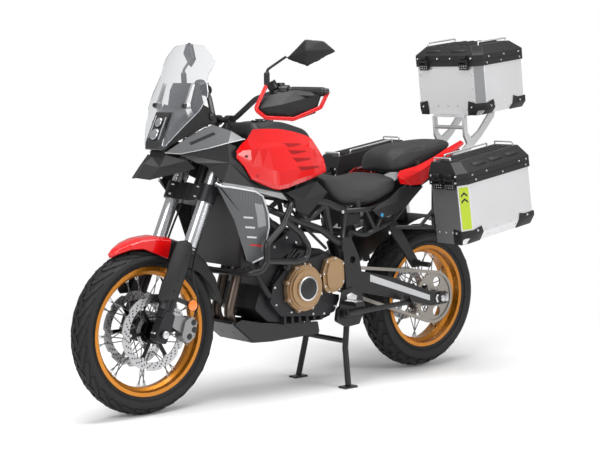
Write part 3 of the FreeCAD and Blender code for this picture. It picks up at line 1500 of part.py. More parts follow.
def hinge_supports(half, spans, seam):
    """Brackets with round bosses on a lid's hinge line, at both ends of each span across."""
    x = half + PIN_AHEAD
    parts = []
    for low, high in spans:
        for begin in (low, high - 8):
            parts.append(block((half, x + 5), (begin, begin + 8), (seam - 14, seam - 1)))
            parts.append(rod((x, begin, seam), (x, begin + 8, seam), KNUCKLE))
    return parts


def knuckles(half, spans, seam):
    """Knuckles on the lid, each between two bosses."""
    x = half + PIN_AHEAD
    parts = []
    for low, high in spans:
        begin, end = low + 9, high - 9
        eye = rod((x, begin, seam), (x, end, seam), KNUCKLE)
        leaf = block((half + BAND - 1, x), (begin, end), (seam + 3, seam + 11))
        parts.append(joined(eye, leaf))
    return parts


def lid_shape(outline, inside, seam, height, top, top_inside):
    """A lid with an upright rim and slanting faces up to its flat top."""
    low = seam + GAP
    rim_wall = plate(outline, UP, low, low + RIM, 6).cut(plate(inside, UP, low - 1, low + RIM + 1, 4))
    wires = [path([Vector(x, y, z) for x, y in corners], 6, closed=True)
             for z, corners in ((low + RIM, outline), (height, top))]
    room = [path([Vector(x, y, z) for x, y in corners], 4, closed=True)
            for z, corners in ((low + RIM, inside), (height - WALL, top_inside))]
    crown = Part.makeLoft(wires, True, True).cut(Part.makeLoft(room, True, True))
    return joined(rim_wall, crown)


PANNIER_SPANS = [(316, 370), (384, 438)]
TOP_SPANS = [(-150, -96), (96, 150)]
PANNIER_SEAM = float(D.pannier_seam)
TOP_SEAM = float(D.top_case_seam)


def pannier():
    inner, outer = float(D.pannier_inner), float(D.pannier_outer)
    half = float(D.pannier_length) / 2
    profile = [(inner, 0), (outer - FOLD_ACROSS, 0), (outer, FOLD), (outer, PANNIER_SEAM),
               (inner, PANNIER_SEAM)]
    room = [(inner + WALL, WALL), (outer - FOLD_ACROSS - 1, WALL), (outer - WALL, FOLD + 1),
            (outer - WALL, PANNIER_SEAM + 1), (inner + WALL, PANNIER_SEAM + 1)]
    body = body_shape(case_outline(), profile, case_outline(-WALL), room, half, PANNIER_SEAM,
                      case_outline(BAND))
    return joined(body, *hinge_supports(half, PANNIER_SPANS, PANNIER_SEAM))


def pannier_lid():
    inner, outer = float(D.pannier_inner), float(D.pannier_outer)
    half = float(D.pannier_length) / 2
    edge = inner - BAND
    top = [(half - 17, edge + 2), (half - 17, outer - 66), (half - 56, outer - 46),
           (-half + 2, outer - 46), (-half + 2, edge + 2)]
    top_inside = [(half - 21, edge + 6), (half - 21, outer - 68), (half - 58, outer - 50),
                  (-half + 6, outer - 50), (-half + 6, edge + 6)]
    lid = lid_shape(case_outline(BAND), case_outline(BAND - WALL), PANNIER_SEAM,
                    float(D.pannier_height), top, top_inside)
    return joined(lid, *knuckles(half, PANNIER_SPANS, PANNIER_SEAM))


def top_case():
    half = float(D.top_case_half)
    length = float(D.top_case_length) / 2
    profile = [(FOLD_ACROSS - half, 0), (half - FOLD_ACROSS, 0), (half, FOLD_ACROSS), (half, TOP_SEAM),
               (-half, TOP_SEAM), (-half, FOLD_ACROSS)]
    room_half = half - WALL
    room = [(FOLD_ACROSS + 1 - half, WALL), (half - FOLD_ACROSS - 1, WALL), (room_half, FOLD_ACROSS + 1),
            (room_half, TOP_SEAM + 1), (-room_half, TOP_SEAM + 1), (-room_half, FOLD_ACROSS + 1)]
    body = body_shape(top_outline(), profile, top_outline(-WALL), room, length, TOP_SEAM,
                      top_outline(BAND))
    return joined(body, *hinge_supports(length, TOP_SPANS, TOP_SEAM))


def top_lid():
    length = float(D.top_case_length) / 2
    lid = lid_shape(top_outline(BAND), top_outline(BAND - WALL), TOP_SEAM, float(D.top_case_height),
                    top_outline(-34), top_outline(-38))
    return joined(lid, *knuckles(length, TOP_SPANS, TOP_SEAM))


def placed(shape, place):
    moved = shape.copy()
    moved.Placement = place
    return moved.copy()


node("left_case", pannier(), CHASSIS * PANNIER)
node("right_case", mirrored(pannier()), CHASSIS * PANNIER)
node("top_case", top_case(), CHASSIS * TOP_CASE)
node("left_lid", pannier_lid(), CHASSIS * PANNIER)
node("right_lid", mirrored(pannier_lid()), CHASSIS * PANNIER)
node("top_lid", top_lid(), CHASSIS * TOP_CASE)


def rear_rack():
    """Silver cast arms up to the plate under the top case."""
    base = placed(plate([(150, -95), (168, -60), (168, 60), (150, 95), (-92, 110), (-112, 90), (-112, -90),
                         (-92, -110)], UP, -9, 0, 12), TOP_CASE)
    arms = []
    for side in (1, -1):
        low, high = (86, 98) if side > 0 else (-98, -86)
        arms.append(plate([(-128, 938), (-128, 962), (-192, 978), (-226, 1004), (-205, 1040),
                           (-196, 1128), (-218, 1130), (-226, 1056), (-250, 1030), (-300, 1062),
                           (-378, 1150), (-410, 1152), (-400, 1122), (-318, 1036), (-236, 968),
                           (-196, 946)], LEFT, low, high, 6))
        arms.append(rod((-142, side * 92, 950), (-118, side * 112, 944), 9))
    arms.append(rod((-212, -92, 1078), (-212, 92, 1078), 9))
    return joined(base, *arms)


rack_shape = fitted(rear_rack(), sub_shape)
node("rear_rack", rack_shape, CHASSIS)


# Checks and files
doc.recompute()
PARTS = [item for item in doc.Objects
         if item.TypeId in ("Part::Feature", "PartDesign::Body") and not item.Label.endswith("_core")]
for item in doc.Objects:
    if "Invalid" in item.State or "Error" in item.State:
        raise RuntimeError(f"{item.Label} did not recompute")
for item in PARTS:
    if item.Shape.isNull() or not item.Shape.isValid():
        raise RuntimeError(f"{item.Label} has no valid shape")
os.makedirs("parts", exist_ok=True)
for item in PARTS:
    item.Shape.exportStep(f"parts/{item.Label}.step")
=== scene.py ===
import json
import math

import bmesh
import bpy
from mathutils import Matrix, Vector
from mathutils.bvhtree import BVHTree

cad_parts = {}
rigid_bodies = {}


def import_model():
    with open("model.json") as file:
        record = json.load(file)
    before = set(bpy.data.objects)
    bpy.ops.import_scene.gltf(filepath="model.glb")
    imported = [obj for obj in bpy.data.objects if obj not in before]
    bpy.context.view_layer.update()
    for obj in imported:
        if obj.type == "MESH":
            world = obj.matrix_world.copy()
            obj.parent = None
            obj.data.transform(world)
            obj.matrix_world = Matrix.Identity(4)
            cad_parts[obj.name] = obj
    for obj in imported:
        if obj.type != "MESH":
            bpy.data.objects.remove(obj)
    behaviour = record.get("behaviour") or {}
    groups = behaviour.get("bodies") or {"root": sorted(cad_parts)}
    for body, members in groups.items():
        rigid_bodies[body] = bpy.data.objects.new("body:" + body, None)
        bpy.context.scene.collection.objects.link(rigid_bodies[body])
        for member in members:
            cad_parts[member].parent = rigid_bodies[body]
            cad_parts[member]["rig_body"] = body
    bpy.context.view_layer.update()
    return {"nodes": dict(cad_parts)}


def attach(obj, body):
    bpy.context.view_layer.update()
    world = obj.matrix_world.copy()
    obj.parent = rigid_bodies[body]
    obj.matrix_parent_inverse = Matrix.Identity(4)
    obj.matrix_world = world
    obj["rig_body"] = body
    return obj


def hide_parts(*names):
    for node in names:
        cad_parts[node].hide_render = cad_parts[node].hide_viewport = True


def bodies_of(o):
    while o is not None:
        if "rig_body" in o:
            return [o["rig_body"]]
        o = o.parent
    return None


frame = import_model()
NODES = frame["nodes"]

# Places, in mm: chassis points are given from the ground under the rear axle
BACK = 673.5
WHEELBASE = 1510
FRONT_AXLE = Vector((WHEELBASE - BACK, 0, 329)) / 1000
REAR_AXLE = Vector((-BACK, 0, 327)) / 1000
RAKE = math.radians(24)

# Camera
CAMERA_PLACE = Vector((5.048 - BACK / 1000, 4.974, 1.330))
CAMERA_YAW = math.radians(-131.15)
CAMERA_PITCH = math.radians(-5.54)
CAMERA_ROLL = math.radians(-0.22)
CAMERA_LENS = 94.42
SENSOR_WIDTH = 36.0

# Directions
AHEAD = (1, 0, 0)
LEFT = (0, 1, 0)
UP = (0, 0, 1)
SIDEWAYS = Matrix.Rotation(math.pi / 2, 4, "X")

# Where each part of the vehicle has its own zero
CHASSIS = Matrix.Translation((-BACK / 1000, 0, 0))
FORK = Matrix.Translation(FRONT_AXLE) @ Matrix.Rotation(-RAKE, 4, "Y")
PANNIER = CHASSIS @ Matrix.Translation((-0.040, 0, 0.633)) @ Matrix.Rotation(math.radians(9), 4, "Y")
TOP_CASE = CHASSIS @ Matrix.Translation((-0.348, 0, 1.154)) @ Matrix.Rotation(math.radians(7), 4, "Y")
FRONT_WHEEL = Matrix.Translation(FRONT_AXLE)
REAR_WHEEL = Matrix.Translation(REAR_AXLE)
MIRROR = Matrix.Scale(-1, 4, LEFT)


def mm(x, y, z):
    """A point given in mm, in metres."""
    return Vector((x, y, z)) / 1000


def at(x, y, z):
    """A shift given in mm."""
    return Matrix.Translation(mm(x, y, z))


def basis(origin, along, out):
    """A place whose X runs along a surface and whose Z points out of it."""
    out = Vector(out).normalized()
    along = Vector(along).normalized()
    up = out.cross(along).normalized()
    turn = Matrix((along, up, out)).transposed().to_4x4()
    return Matrix.Translation(Vector(origin)) @ turn


# Shared effects
def connect(tree, node, sources):
    """Feeds a shader node's inputs from other nodes' sockets or from plain values."""
    for label, source in sources.items() if isinstance(sources, dict) else enumerate(sources):
        if isinstance(source, bpy.types.NodeSocket):
            tree.links.new(source, node.inputs[label])
        else:
            node.inputs[label].default_value = source


def add(tree, kind, sources=(), **settings):
    """A new node in a shader tree, with its settings and inputs."""
    node = tree.nodes.new("ShaderNode" + kind)
    for label, value in settings.items():
        setattr(node, label, value)
    connect(tree, node, sources)
    return node


def new_group(name, inputs, outputs):
    """A shader group with its sockets; gives the group, its given sockets and its end node."""
    group = bpy.data.node_groups.new(name, "ShaderNodeTree")
    kinds = {1: "NodeSocketFloat", 3: "NodeSocketVector", 4: "NodeSocketColor"}
    for way, sockets in (("INPUT", inputs), ("OUTPUT", outputs)):
        for label, value in sockets.items():
            size = 1 if isinstance(value, float) else len(value)
            socket = group.interface.new_socket(label, in_out=way, socket_type=kinds[size])
            socket.default_value = value
    return group, group.nodes.new("NodeGroupInput").outputs, group.nodes.new("NodeGroupOutput")


def grain_group():
    """Fine surface grain: a tint, a roughness and a height that vary over the surface."""
    group, given, end = new_group(
        "surface_grain", {"Colour": (0.5, 0.5, 0.5, 1), "Roughness": 0.5, "Grain scale": 400.0,
                          "Patch scale": 6.0, "Tint": 0.1, "Spread": 0.1},
        {"Colour": (0, 0, 0, 1), "Roughness": 0.0, "Height": 0.0})
    place = add(group, "TexCoord").outputs["Object"]
    grain = add(group, "TexNoise", {"Vector": place, "Scale": given["Grain scale"], "Detail": 4})
    patch = add(group, "TexNoise", {"Vector": place, "Scale": given["Patch scale"], "Detail": 3})
    shade = add(group, "Math", [patch.outputs["Fac"], given["Tint"], 1.0], operation="MULTIPLY_ADD")
    half = add(group, "Math", [given["Tint"], -0.5, shade.outputs[0]], operation="MULTIPLY_ADD")
    tint = add(group, "Mix", {"Factor": 1.0, "A": given["Colour"], "B": half.outputs[0]},
               data_type="RGBA", blend_type="MULTIPLY")
    rough = add(group, "Math", [patch.outputs["Fac"], 0.5], operation="SUBTRACT")
    spread = add(group, "Math", [rough.outputs[0], given["Spread"], given["Roughness"]],
                 operation="MULTIPLY_ADD")
    connect(group, end, {"Colour": tint.outputs["Result"], "Roughness": spread.outputs[0],
                         "Height": grain.outputs["Fac"]})
    return group


def lattice_group():
    """Crossed diagonal lines across the width and height: 1 on a line, 0 between them."""
    group, given, end = new_group("lattice", {"Pitch": 90.0, "Share": 0.2}, {"Mask": 0.0})
    axes = add(group, "SeparateXYZ", [add(group, "TexCoord").outputs["Object"]])
    lines = []
    for operation in ("ADD", "SUBTRACT"):
        diagonal = add(group, "Math", [axes.outputs["Y"], axes.outputs["Z"]], operation=operation)
        repeat = add(group, "Math", [diagonal.outputs[0], given["Pitch"]], operation="MULTIPLY")
        part = add(group, "Math", [repeat.outputs[0]], operation="FRACT")
        lines.append(add(group, "Math", [part.outputs[0], given["Share"]], operation="LESS_THAN").outputs[0])
    connect(group, end, {"Mask": add(group, "Math", lines, operation="MAXIMUM").outputs[0]})
    return group


def reach_group():
    """1 within a distance of a wheel's axle, which runs across the vehicle."""
    group, given, end = new_group("within_reach", {"Axle": (0.0, 0.0, 0.0), "Reach": 0.1}, {"Mask": 0.0})
    place = add(group, "TexCoord").outputs["Object"]
    offset = add(group, "VectorMath", [place, given["Axle"]], operation="SUBTRACT")
    level = add(group, "VectorMath", [offset.outputs[0], (1, 0, 1)], operation="MULTIPLY")
    length = add(group, "VectorMath", [level.outputs[0]], operation="LENGTH")
    near = add(group, "Math", [length.outputs["Value"], given["Reach"]], operation="LESS_THAN")
    connect(group, end, {"Mask": near.outputs[0]})
    return group


GRAIN = grain_group()
LATTICE = lattice_group()
WITHIN = reach_group()


def new_material(name):
    """A material with its shader tree and its surface shader."""
    material = bpy.data.materials.new(name)
    material.use_nodes = True
    return material, material.node_tree, material.node_tree.nodes["Principled BSDF"]


def finish(name, colour, rough, metal=0.0, coat=0.0, grain=400.0, bump=0.05, depth=0.0004,
           tint=0.12, spread=0.12, shine=0.5):
    """A material with grain, patches of tone and a bump."""
    material, tree, shader = new_material(name)
    effect = add(tree, "Group", {"Colour": (*colour, 1), "Roughness": rough, "Grain scale": grain,
                                 "Tint": tint, "Spread": spread}, node_tree=GRAIN, name="grain")
    relief = add(tree, "Bump", {"Strength": bump, "Distance": depth, "Height": effect.outputs["Height"]})
    connect(tree, shader, {"Base Color": effect.outputs["Colour"], "Roughness": effect.outputs["Roughness"],
                           "Normal": relief.outputs["Normal"], "Metallic": metal, "Coat Weight": coat,
                           "Coat Roughness": 0.05, "Specular IOR Level": shine})
    return material


def masked(material, group, settings, colour):
    """Lays a second colour over a material where a group's mask is 1."""
    tree = material.node_tree
    mask = add(tree, "Group", settings, node_tree=group)
    mix = add(tree, "Mix", {"Factor": mask.outputs["Mask"], "A": tree.nodes["grain"].outputs["Colour"],
                            "B": (*colour, 1)}, data_type="RGBA")
    connect(tree, tree.nodes["Principled BSDF"], {"Base Color": mix.outputs["Result"]})
    return material


RUBBER = finish("tyre_rubber", (0.010, 0.010, 0.011), 0.62, bump=0.3, grain=300, tint=0.3, shine=0.3)
GOLD = finish("gold_anodised", (0.48, 0.175, 0.012), 0.26, metal=0.75, coat=0.3, bump=0.02)
BLACK_CAST = finish("black_cast", (0.014, 0.014, 0.016), 0.42, metal=0.3, bump=0.25, grain=600, shine=0.35)
HUB_BLACK = finish("hub_black", (0.012, 0.012, 0.013), 0.3, metal=0.4, bump=0.1, grain=700)
SPOKE_STEEL = finish("spoke_steel", (0.16, 0.16, 0.165), 0.3, metal=0.9, bump=0.02)
DISC_STEEL = finish("disc_steel", (0.36, 0.36, 0.37), 0.3, metal=1.0, bump=0.15, grain=1500, tint=0.4)
FRONT_DISC = masked(finish("front_disc", (0.42, 0.42, 0.43), 0.3, metal=1.0, bump=0.15, grain=1500, tint=0.4),
                    WITHIN, {"Axle": FRONT_AXLE, "Reach": 0.108}, (0.02, 0.02, 0.021))
BOLT_STEEL = finish("bolt_steel", (0.55, 0.55, 0.56), 0.28, metal=1.0, bump=0.05)
FORK_SILVER = finish("fork_silver", (0.60, 0.61, 0.63), 0.26, metal=0.92, bump=0.04, tint=0.06)
BLACK_SATIN = finish("black_satin", (0.011, 0.011, 0.012), 0.34, metal=0.1, bump=0.06, grain=700, shine=0.4)
FRAME_GREY = finish("frame_black", (0.013, 0.013, 0.014), 0.36, metal=0.2, bump=0.08, grain=700, shine=0.4)
CAST_GREY = finish("cast_grey", (0.24, 0.24, 0.245), 0.40, metal=0.7, bump=0.2, grain=700)
BRONZE = finish("bronze_cover", (0.33, 0.215, 0.115), 0.40, metal=0.7, bump=0.12, grain=900)
HEADER = finish("header_steel", (0.11, 0.085, 0.07), 0.36, metal=0.85, bump=0.08, tint=0.4)
RED = finish("red_gloss", (0.58, 0.003, 0.004), 0.22, coat=0.7, bump=0.003, tint=0.03, spread=0.03,
             shine=0.25)
# A darker red for painted shade along the tank's strakes.
RED_STRAKE_SHADE = finish("red_painted_strake_shade", (0.25, 0.002, 0.003), 0.3, coat=0.3, bump=0.003, tint=0.03, shine=0.2)
RED_SATIN = finish("red_satin", (0.52, 0.005, 0.006), 0.3, coat=0.4, bump=0.01, tint=0.04, shine=0.25)
BLACK_PLASTIC = finish("black_plastic", (0.010, 0.010, 0.011), 0.48, bump=0.3, grain=900, shine=0.3)
# Near-black: the real black of the filler flap and the stripe's chevrons, and painted shade on inboard faces,
# slots and drilled holes.
BLACK_AND_PAINTED_SHADE = finish("black_and_painted_shade", (0.006, 0.006, 0.006), 0.55, bump=0.1)
GREY_PANEL = finish("grey_panel", (0.15, 0.153, 0.158), 0.33, metal=0.4, coat=0.3, bump=0.05, grain=900)
GREY_LIGHT = finish("grey_light", (0.23, 0.235, 0.24), 0.34, metal=0.4, coat=0.3, bump=0.05)
SILVER_LINE = finish("silver_line", (0.50, 0.51, 0.52), 0.3, metal=0.6, bump=0.02)
LAMP_BLACK = finish("lamp_black", (0.008, 0.008, 0.009), 0.1, coat=0.8, bump=0.0, tint=0.0)
LENS = finish("lens", (0.30, 0.31, 0.33), 0.06, metal=0.6, coat=1.0, bump=0.0, tint=0.0)
MIRROR_GLASS = finish("mirror_glass", (0.85, 0.86, 0.87), 0.03, metal=1.0, bump=0.0, tint=0.0)
SEAT_VINYL = finish("seat_vinyl", (0.018, 0.018, 0.019), 0.58, bump=0.8, grain=900, depth=0.0006,
                    shine=0.3)
CASE_ALU = finish("case_aluminium", (0.64, 0.64, 0.65), 0.36, metal=0.72, bump=0.08, grain=1400, tint=0.06)
# Darker grey metal: a painted dark reflection on the cases' forward faces.
CASE_DARK_REFLECTION = finish("case_painted_reflection", (0.27, 0.273, 0.278), 0.36, metal=0.75, bump=0.08, grain=1400)
LID_BLACK = finish("lid_black", (0.011, 0.011, 0.012), 0.48, bump=0.35, grain=900, shine=0.28)
CHAIN_STEEL = finish("chain_steel", (0.30, 0.28, 0.25), 0.4, metal=0.9, tint=0.3)
RACK_SILVER = finish("rack_silver", (0.60, 0.60, 0.61), 0.32, metal=0.75, bump=0.1, grain=900)
LIME = finish("lime_film", (0.34, 0.44, 0.011), 0.35, coat=0.3, bump=0.02, tint=0.03)
AMBER = finish("amber_lens", (0.80, 0.18, 0.01), 0.14, coat=0.8, bump=0.02, tint=0.05)
TAIL_RED = finish("tail_lens", (0.35, 0.004, 0.006), 0.12, coat=0.8, bump=0.02, tint=0.05)
DISPLAY = finish("display_glass", (0.01, 0.013, 0.018), 0.05, coat=1.0, bump=0.0, tint=0.0)
BLUE_LOCK = finish("lock_blue", (0.05, 0.30, 0.55), 0.3, metal=0.5, bump=0.02)
CORE_MESH = masked(finish("radiator_mesh", (0.006, 0.006, 0.007), 0.4, metal=0.3), LATTICE,
                   {"Pitch": 95.0, "Share": 0.2}, (0.075, 0.077, 0.08))
CARBON = masked(finish("woven_panel", (0.045, 0.047, 0.05), 0.4, metal=0.4), LATTICE,
                {"Pitch": 260.0, "Share": 0.5}, (0.10, 0.103, 0.108))


def clear_sheet():
    """The screen's clear plastic, faintly grey, with glossy faces."""
    material, tree, shader = new_material("clear_sheet")
    edge = add(tree, "LayerWeight", {"Blend": 0.3})
    fade = add(tree, "MapRange", {"Value": edge.outputs["Facing"], "To Min": 0.07, "To Max": 0.55})
    connect(tree, shader, {"Base Color": (0.30, 0.31, 0.33, 1), "Roughness": 0.04, "IOR": 1.45,
                           "Alpha": fade.outputs["Result"]})
    return material


CLEAR = clear_sheet()
# An opaque pale grey for the clear screen's cut edge: a painted highlight.
SCREEN_EDGE_HIGHLIGHT = finish("screen_edge_highlight", (0.62, 0.66, 0.70), 0.15, coat=0.8, bump=0.0, tint=0.0)


# Making pieces
def body_of(node):
    """The body that carries a CAD node."""
    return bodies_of(NODES[node])[0]


def smooth(data, angle=32):
    """Smooth faces, with an edge kept where two faces meet at more than the angle."""
    for face in data.polygons:
        face.use_smooth = True
    data.set_sharp_from_angle(angle=math.radians(angle))


def placed(name, data):
    """An object in the scene for a mesh, curve, lamp or camera."""
    item = bpy.data.objects.new(name, data)
    bpy.context.collection.objects.link(item)
    return item


def piece(name, mesh, material, node, angle=32):
    """The mesh as a piece of the vehicle that moves with the body of a CAD node."""
    data = bpy.data.meshes.new(name)
    mesh.to_mesh(data)
    mesh.free()
    smooth(data, angle)
    data.materials.append(material)
    item = placed(name, data)
    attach(item, body_of(node))
    return item


def outward(mesh):
    """The mesh with all its faces turned outwards."""
    bmesh.ops.recalc_face_normals(mesh, faces=mesh.faces)
    return mesh


def closed(name, mesh, material, node, angle=32):
    """A piece whose faces are turned outwards first."""
    piece(name, outward(mesh), material, node, angle)


def edges_at(spots):
    """All edges that end at some corners."""
    return list({edge for spot in spots for edge in spot.link_edges})


def faces_at(spots):
    """All faces that meet some corners."""
    return list({face for spot in spots for face in spot.link_faces})


def everything(mesh):
    """A mesh's corners, edges and faces in one list."""
    return mesh.verts[:] + mesh.edges[:] + mesh.faces[:]


def soften(mesh, width, low=25, high=181, segments=2, geometry=None):
    """Rounds the edges whose faces meet at an angle between low and high degrees."""
    edges = [edge for edge in (geometry or mesh.edges) if len(edge.link_faces) == 2
             and low < math.degrees(edge.calc_face_angle()) <= high]
    if edges:
        bmesh.ops.bevel(mesh, geom=edges, offset=width, segments=segments, profile=0.5,
                        affect="EDGES", material=-1, clamp_overlap=True)


def box(mesh, low, high, place=Matrix(), bevel=0.0):
    """A block between two corners given in mm in a place."""
    low, high = Vector(low) / 1000, Vector(high) / 1000
    size = high - low
    made = bmesh.ops.create_cube(mesh, size=1)["verts"]
    bmesh.ops.scale(mesh, vec=size, verts=made)
    bmesh.ops.translate(mesh, vec=(low + high) / 2, verts=made)
    bmesh.ops.transform(mesh, matrix=place, verts=made)
    if bevel:
        soften(mesh, bevel / 1000, geometry=edges_at(made))


def cylinder(mesh, begin, end, radius, place=Matrix(), tip=None, segments=24, bevel=0.0):
    """A round bar between two points given in mm in a place, tapered where a tip is given."""
    begin, end = place @ (Vector(begin) / 1000), place @ (Vector(end) / 1000)
    axis = end - begin
    turn = Matrix.Translation((begin + end) / 2) @ axis.to_track_quat("Z", "Y").to_matrix().to_4x4()
    last = radius if tip is None else tip
    made = bmesh.ops.create_cone(mesh, cap_ends=True, segments=segments, radius1=radius / 1000,
                                 radius2=last / 1000, depth=axis.length, matrix=turn)["verts"]
    if bevel:
        soften(mesh, bevel / 1000, low=50, geometry=edges_at(made))


def raised(mesh, faces, step):
    """Pulls faces out by a step and gives the corners they end on."""
    made = bmesh.ops.extrude_face_region(mesh, geom=faces)["geom"]
    tops = [item for item in made if isinstance(item, bmesh.types.BMVert)]
    bmesh.ops.translate(mesh, vec=step, verts=tops)
    return tops


def prism(mesh, outline, low, high, place=Matrix(), bevel=0.0):
    """A plate whose outline is given in mm in the X and Y of a place, raised along its Z."""
    made = [mesh.verts.new(Vector((x, y, low)) / 1000) for x, y in outline]
    face = mesh.faces.new(made)
    tops = raised(mesh, [face], (0, 0, (high - low) / 1000))
    whole = made + tops
    bmesh.ops.transform(mesh, matrix=place, verts=whole)
    bmesh.ops.recalc_face_normals(mesh, faces=faces_at(whole))
    if bevel:
        soften(mesh, bevel / 1000, geometry=edges_at(whole))


def strip(name, points, radius, material, node, place=Matrix(), curved=True, sides=3):
    """A round wire or hose through points given in mm in a place, as a mesh."""
    line = bpy.data.curves.new(name, "CURVE")
    line.dimensions = "3D"
    line.bevel_depth = radius / 1000
    line.bevel_resolution = sides
    line.use_fill_caps = True
    spline = line.splines.new("NURBS" if curved else "POLY")
    spline.points.add(len(points) - 1)
    for spot, where in zip(spline.points, points):
        spot.co = (*(place @ (Vector(where) / 1000)), 1)
    if curved:
        spline.order_u = 3
        spline.use_endpoint_u = True
        line.resolution_u = 6
    draft = placed(name + "_line", line)
    view = bpy.context.evaluated_depsgraph_get()
    data = bpy.data.meshes.new_from_object(draft.evaluated_get(view))
    bpy.data.objects.remove(draft)
    data.name = name
    data.materials.clear()
    data.materials.append(material)
    smooth(data, 50)
    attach(placed(name, data), body_of(node))


def both(make):
    """Makes a piece on the left and its mirror image on the right."""
    for side, place in (("left", Matrix()), ("right", MIRROR)):
        make(side, place)


def bars(name, material, node, place, rows, angle=32):
    """Round bars as one piece: (begin, end, radius, segments, bevel) each."""
    mesh = bmesh.new()
    for begin, end, radius, segments, bevel in rows:
        cylinder(mesh, begin, end, radius, place, segments=segments, bevel=bevel)
    closed(name, mesh, material, node, angle)


HEAD_TAPER = 0.86
SOCKET_RIM = 0.38
SOCKET_DEPTH = 0.6


def bolt(mesh, where, out, radius=5.0, height=3.5, place=Matrix()):
    """A round bolt head with a six-sided socket, at a point given in mm."""
    seat = place @ basis(Vector(where) / 1000, Vector(out).orthogonal(), out)
    made = bmesh.ops.create_cone(mesh, cap_ends=True, segments=12, radius1=radius / 1000,
                                 radius2=radius * HEAD_TAPER / 1000, depth=height / 1000,
                                 matrix=seat @ Matrix.Translation((0, 0, height / 2000)))["verts"]
    cap = max(faces_at(made), key=lambda face: (seat.inverted() @ face.calc_center_median()).z)
    bmesh.ops.inset_region(mesh, faces=[cap], thickness=radius * SOCKET_RIM / 1000)
    bmesh.ops.translate(mesh, vec=seat.to_3x3() @ Vector((0, 0, -height * SOCKET_DEPTH / 1000)),
                        verts=cap.verts)


def bolts(name, places, material, node, radius=5.0, height=3.5, place=Matrix()):
    """Bolt heads at (point, direction) pairs, as one piece."""
    mesh = bmesh.new()
    for where, out in places:
        bolt(mesh, where, out, radius, height, place)
    closed(name, mesh, material, node, 40)


FLAT_ANGLE = math.radians(0.6)


def dressed(node, material, rim=1.2, crease=0.0, angle=24):
    """A merged copy of a CAD node with rounded edges, which stands for the node."""
    mesh = bmesh.new()
    mesh.from_mesh(NODES[node].data)
    bmesh.ops.remove_doubles(mesh, verts=mesh.verts, dist=0.00001)
    bmesh.ops.dissolve_limit(mesh, angle_limit=FLAT_ANGLE, verts=mesh.verts, edges=mesh.edges)
    if crease:
        soften(mesh, crease / 1000, 7, 62, 3)
    if rim:
        soften(mesh, rim / 1000, 62 if crease else 35, 181, 2)
    item = piece(node + "_dressed", mesh, material, node, angle + 10)
    weighted = item.modifiers.new("normals", "WEIGHTED_NORMAL")
    weighted.keep_sharp = True
    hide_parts(node)
    return item


def baked(item):
    """Puts the modifiers' result into the mesh."""
    view = bpy.context.evaluated_depsgraph_get()
    data = bpy.data.meshes.new_from_object(item.evaluated_get(view))
    item.modifiers.clear()
    item.data = data


def remeshed(item, voxel):
    """An even skin of small faces."""
    remesh = item.modifiers.new("even_skin", "REMESH")
    remesh.mode = "VOXEL"
    remesh.voxel_size = voxel


def evened(item, passes):
    """Softens what stands out of the skin."""
    even = item.modifiers.new("soft_edges", "SMOOTH")
    even.factor = 0.5
    even.iterations = passes


def paint(item, material, angle):
    """Gives a rebuilt mesh its only material and smooth faces."""
    item.data.materials.clear()
    item.data.materials.append(material)
    smooth(item.data, angle)


def rounded(item, voxel, passes):
    """Evens out a housing's edges by remeshing and smoothing it."""
    material = item.data.materials[0]
    item.modifiers.clear()
    remeshed(item, voxel)
    evened(item, passes)
    baked(item)
    paint(item, material, 60)


def recolour(item, material, test, place=CHASSIS):
    """Gives the material to the faces whose centre, in mm in a place, passes the test."""
    item.data.materials.append(material)
    last = len(item.data.materials) - 1
    home = place.inverted()
    for face in item.data.polygons:
        if test(*(home @ face.center * 1000), home.to_3x3() @ face.normal):
            face.material_index = last


def height_at(line, x):
    """The height of a falling or rising line of (x, height) points at x."""
    line = sorted(line)
    for (begin, low), (end, high) in zip(line, line[1:]):
        if begin <= x <= end:
            return low + (high - low) * (x - begin) / (end - begin)
    return line[0][1] if x < line[0][0] else line[-1][1]


SURFACES = {}


def surface(node):
    """A search tree over a CAD node's faces."""
    if node not in SURFACES:
        mesh = bmesh.new()
        mesh.from_mesh(NODES[node].data)
        SURFACES[node] = BVHTree.FromBMesh(mesh)
        mesh.free()
    return SURFACES[node]


def film(name, corners, node, material, lift=0.6, side=1):
    """A thin film on a node's side: a four-cornered patch, given in mm, laid on its surface."""
    mesh = bmesh.new()
    made = [mesh.verts.new(CHASSIS @ mm(x, side * 600, z)) for x, z in corners]
    mesh.faces.new(made)
    bmesh.ops.subdivide_edges(mesh, edges=mesh.edges, cuts=5, use_grid_fill=True)
    lost = []
    for spot in mesh.verts:
        hit = surface(node).ray_cast(spot.co, (0, -side, 0))[0]
        if hit is None:
            lost.append(spot)
        else:
            spot.co.y = hit.y + side * lift / 1000
    bmesh.ops.delete(mesh, geom=lost, context="VERTS")
    outward(mesh)
    wrong = [face for face in mesh.faces if face.normal.y * side < 0]
    bmesh.ops.reverse_faces(mesh, faces=wrong)
    piece(name, mesh, material, node, 60)


# Wheels
FULL_TURN = 2 * math.pi
SIXTHS = [FULL_TURN * index / 6 for index in range(6)]
SHOULDER_SHARE = 0.47
TREAD_SHARE = 0.84
CROWN_STEPS = 6
BLOCK_ROOT = -12
BLOCK_TOP = -1.4
BLOCK_CHAMFER = 0.0016


def spun(mesh, geometry, wheel, angle, steps, copies=False):
    """Turns a section about the wheel's axle into a ring, or repeats it as copies."""
    bmesh.ops.spin(mesh, geom=geometry, cent=wheel.translation, axis=LEFT, dvec=(0, 0, 0),
                   angle=angle, steps=steps, use_merge=not copies, use_duplicate=copies)


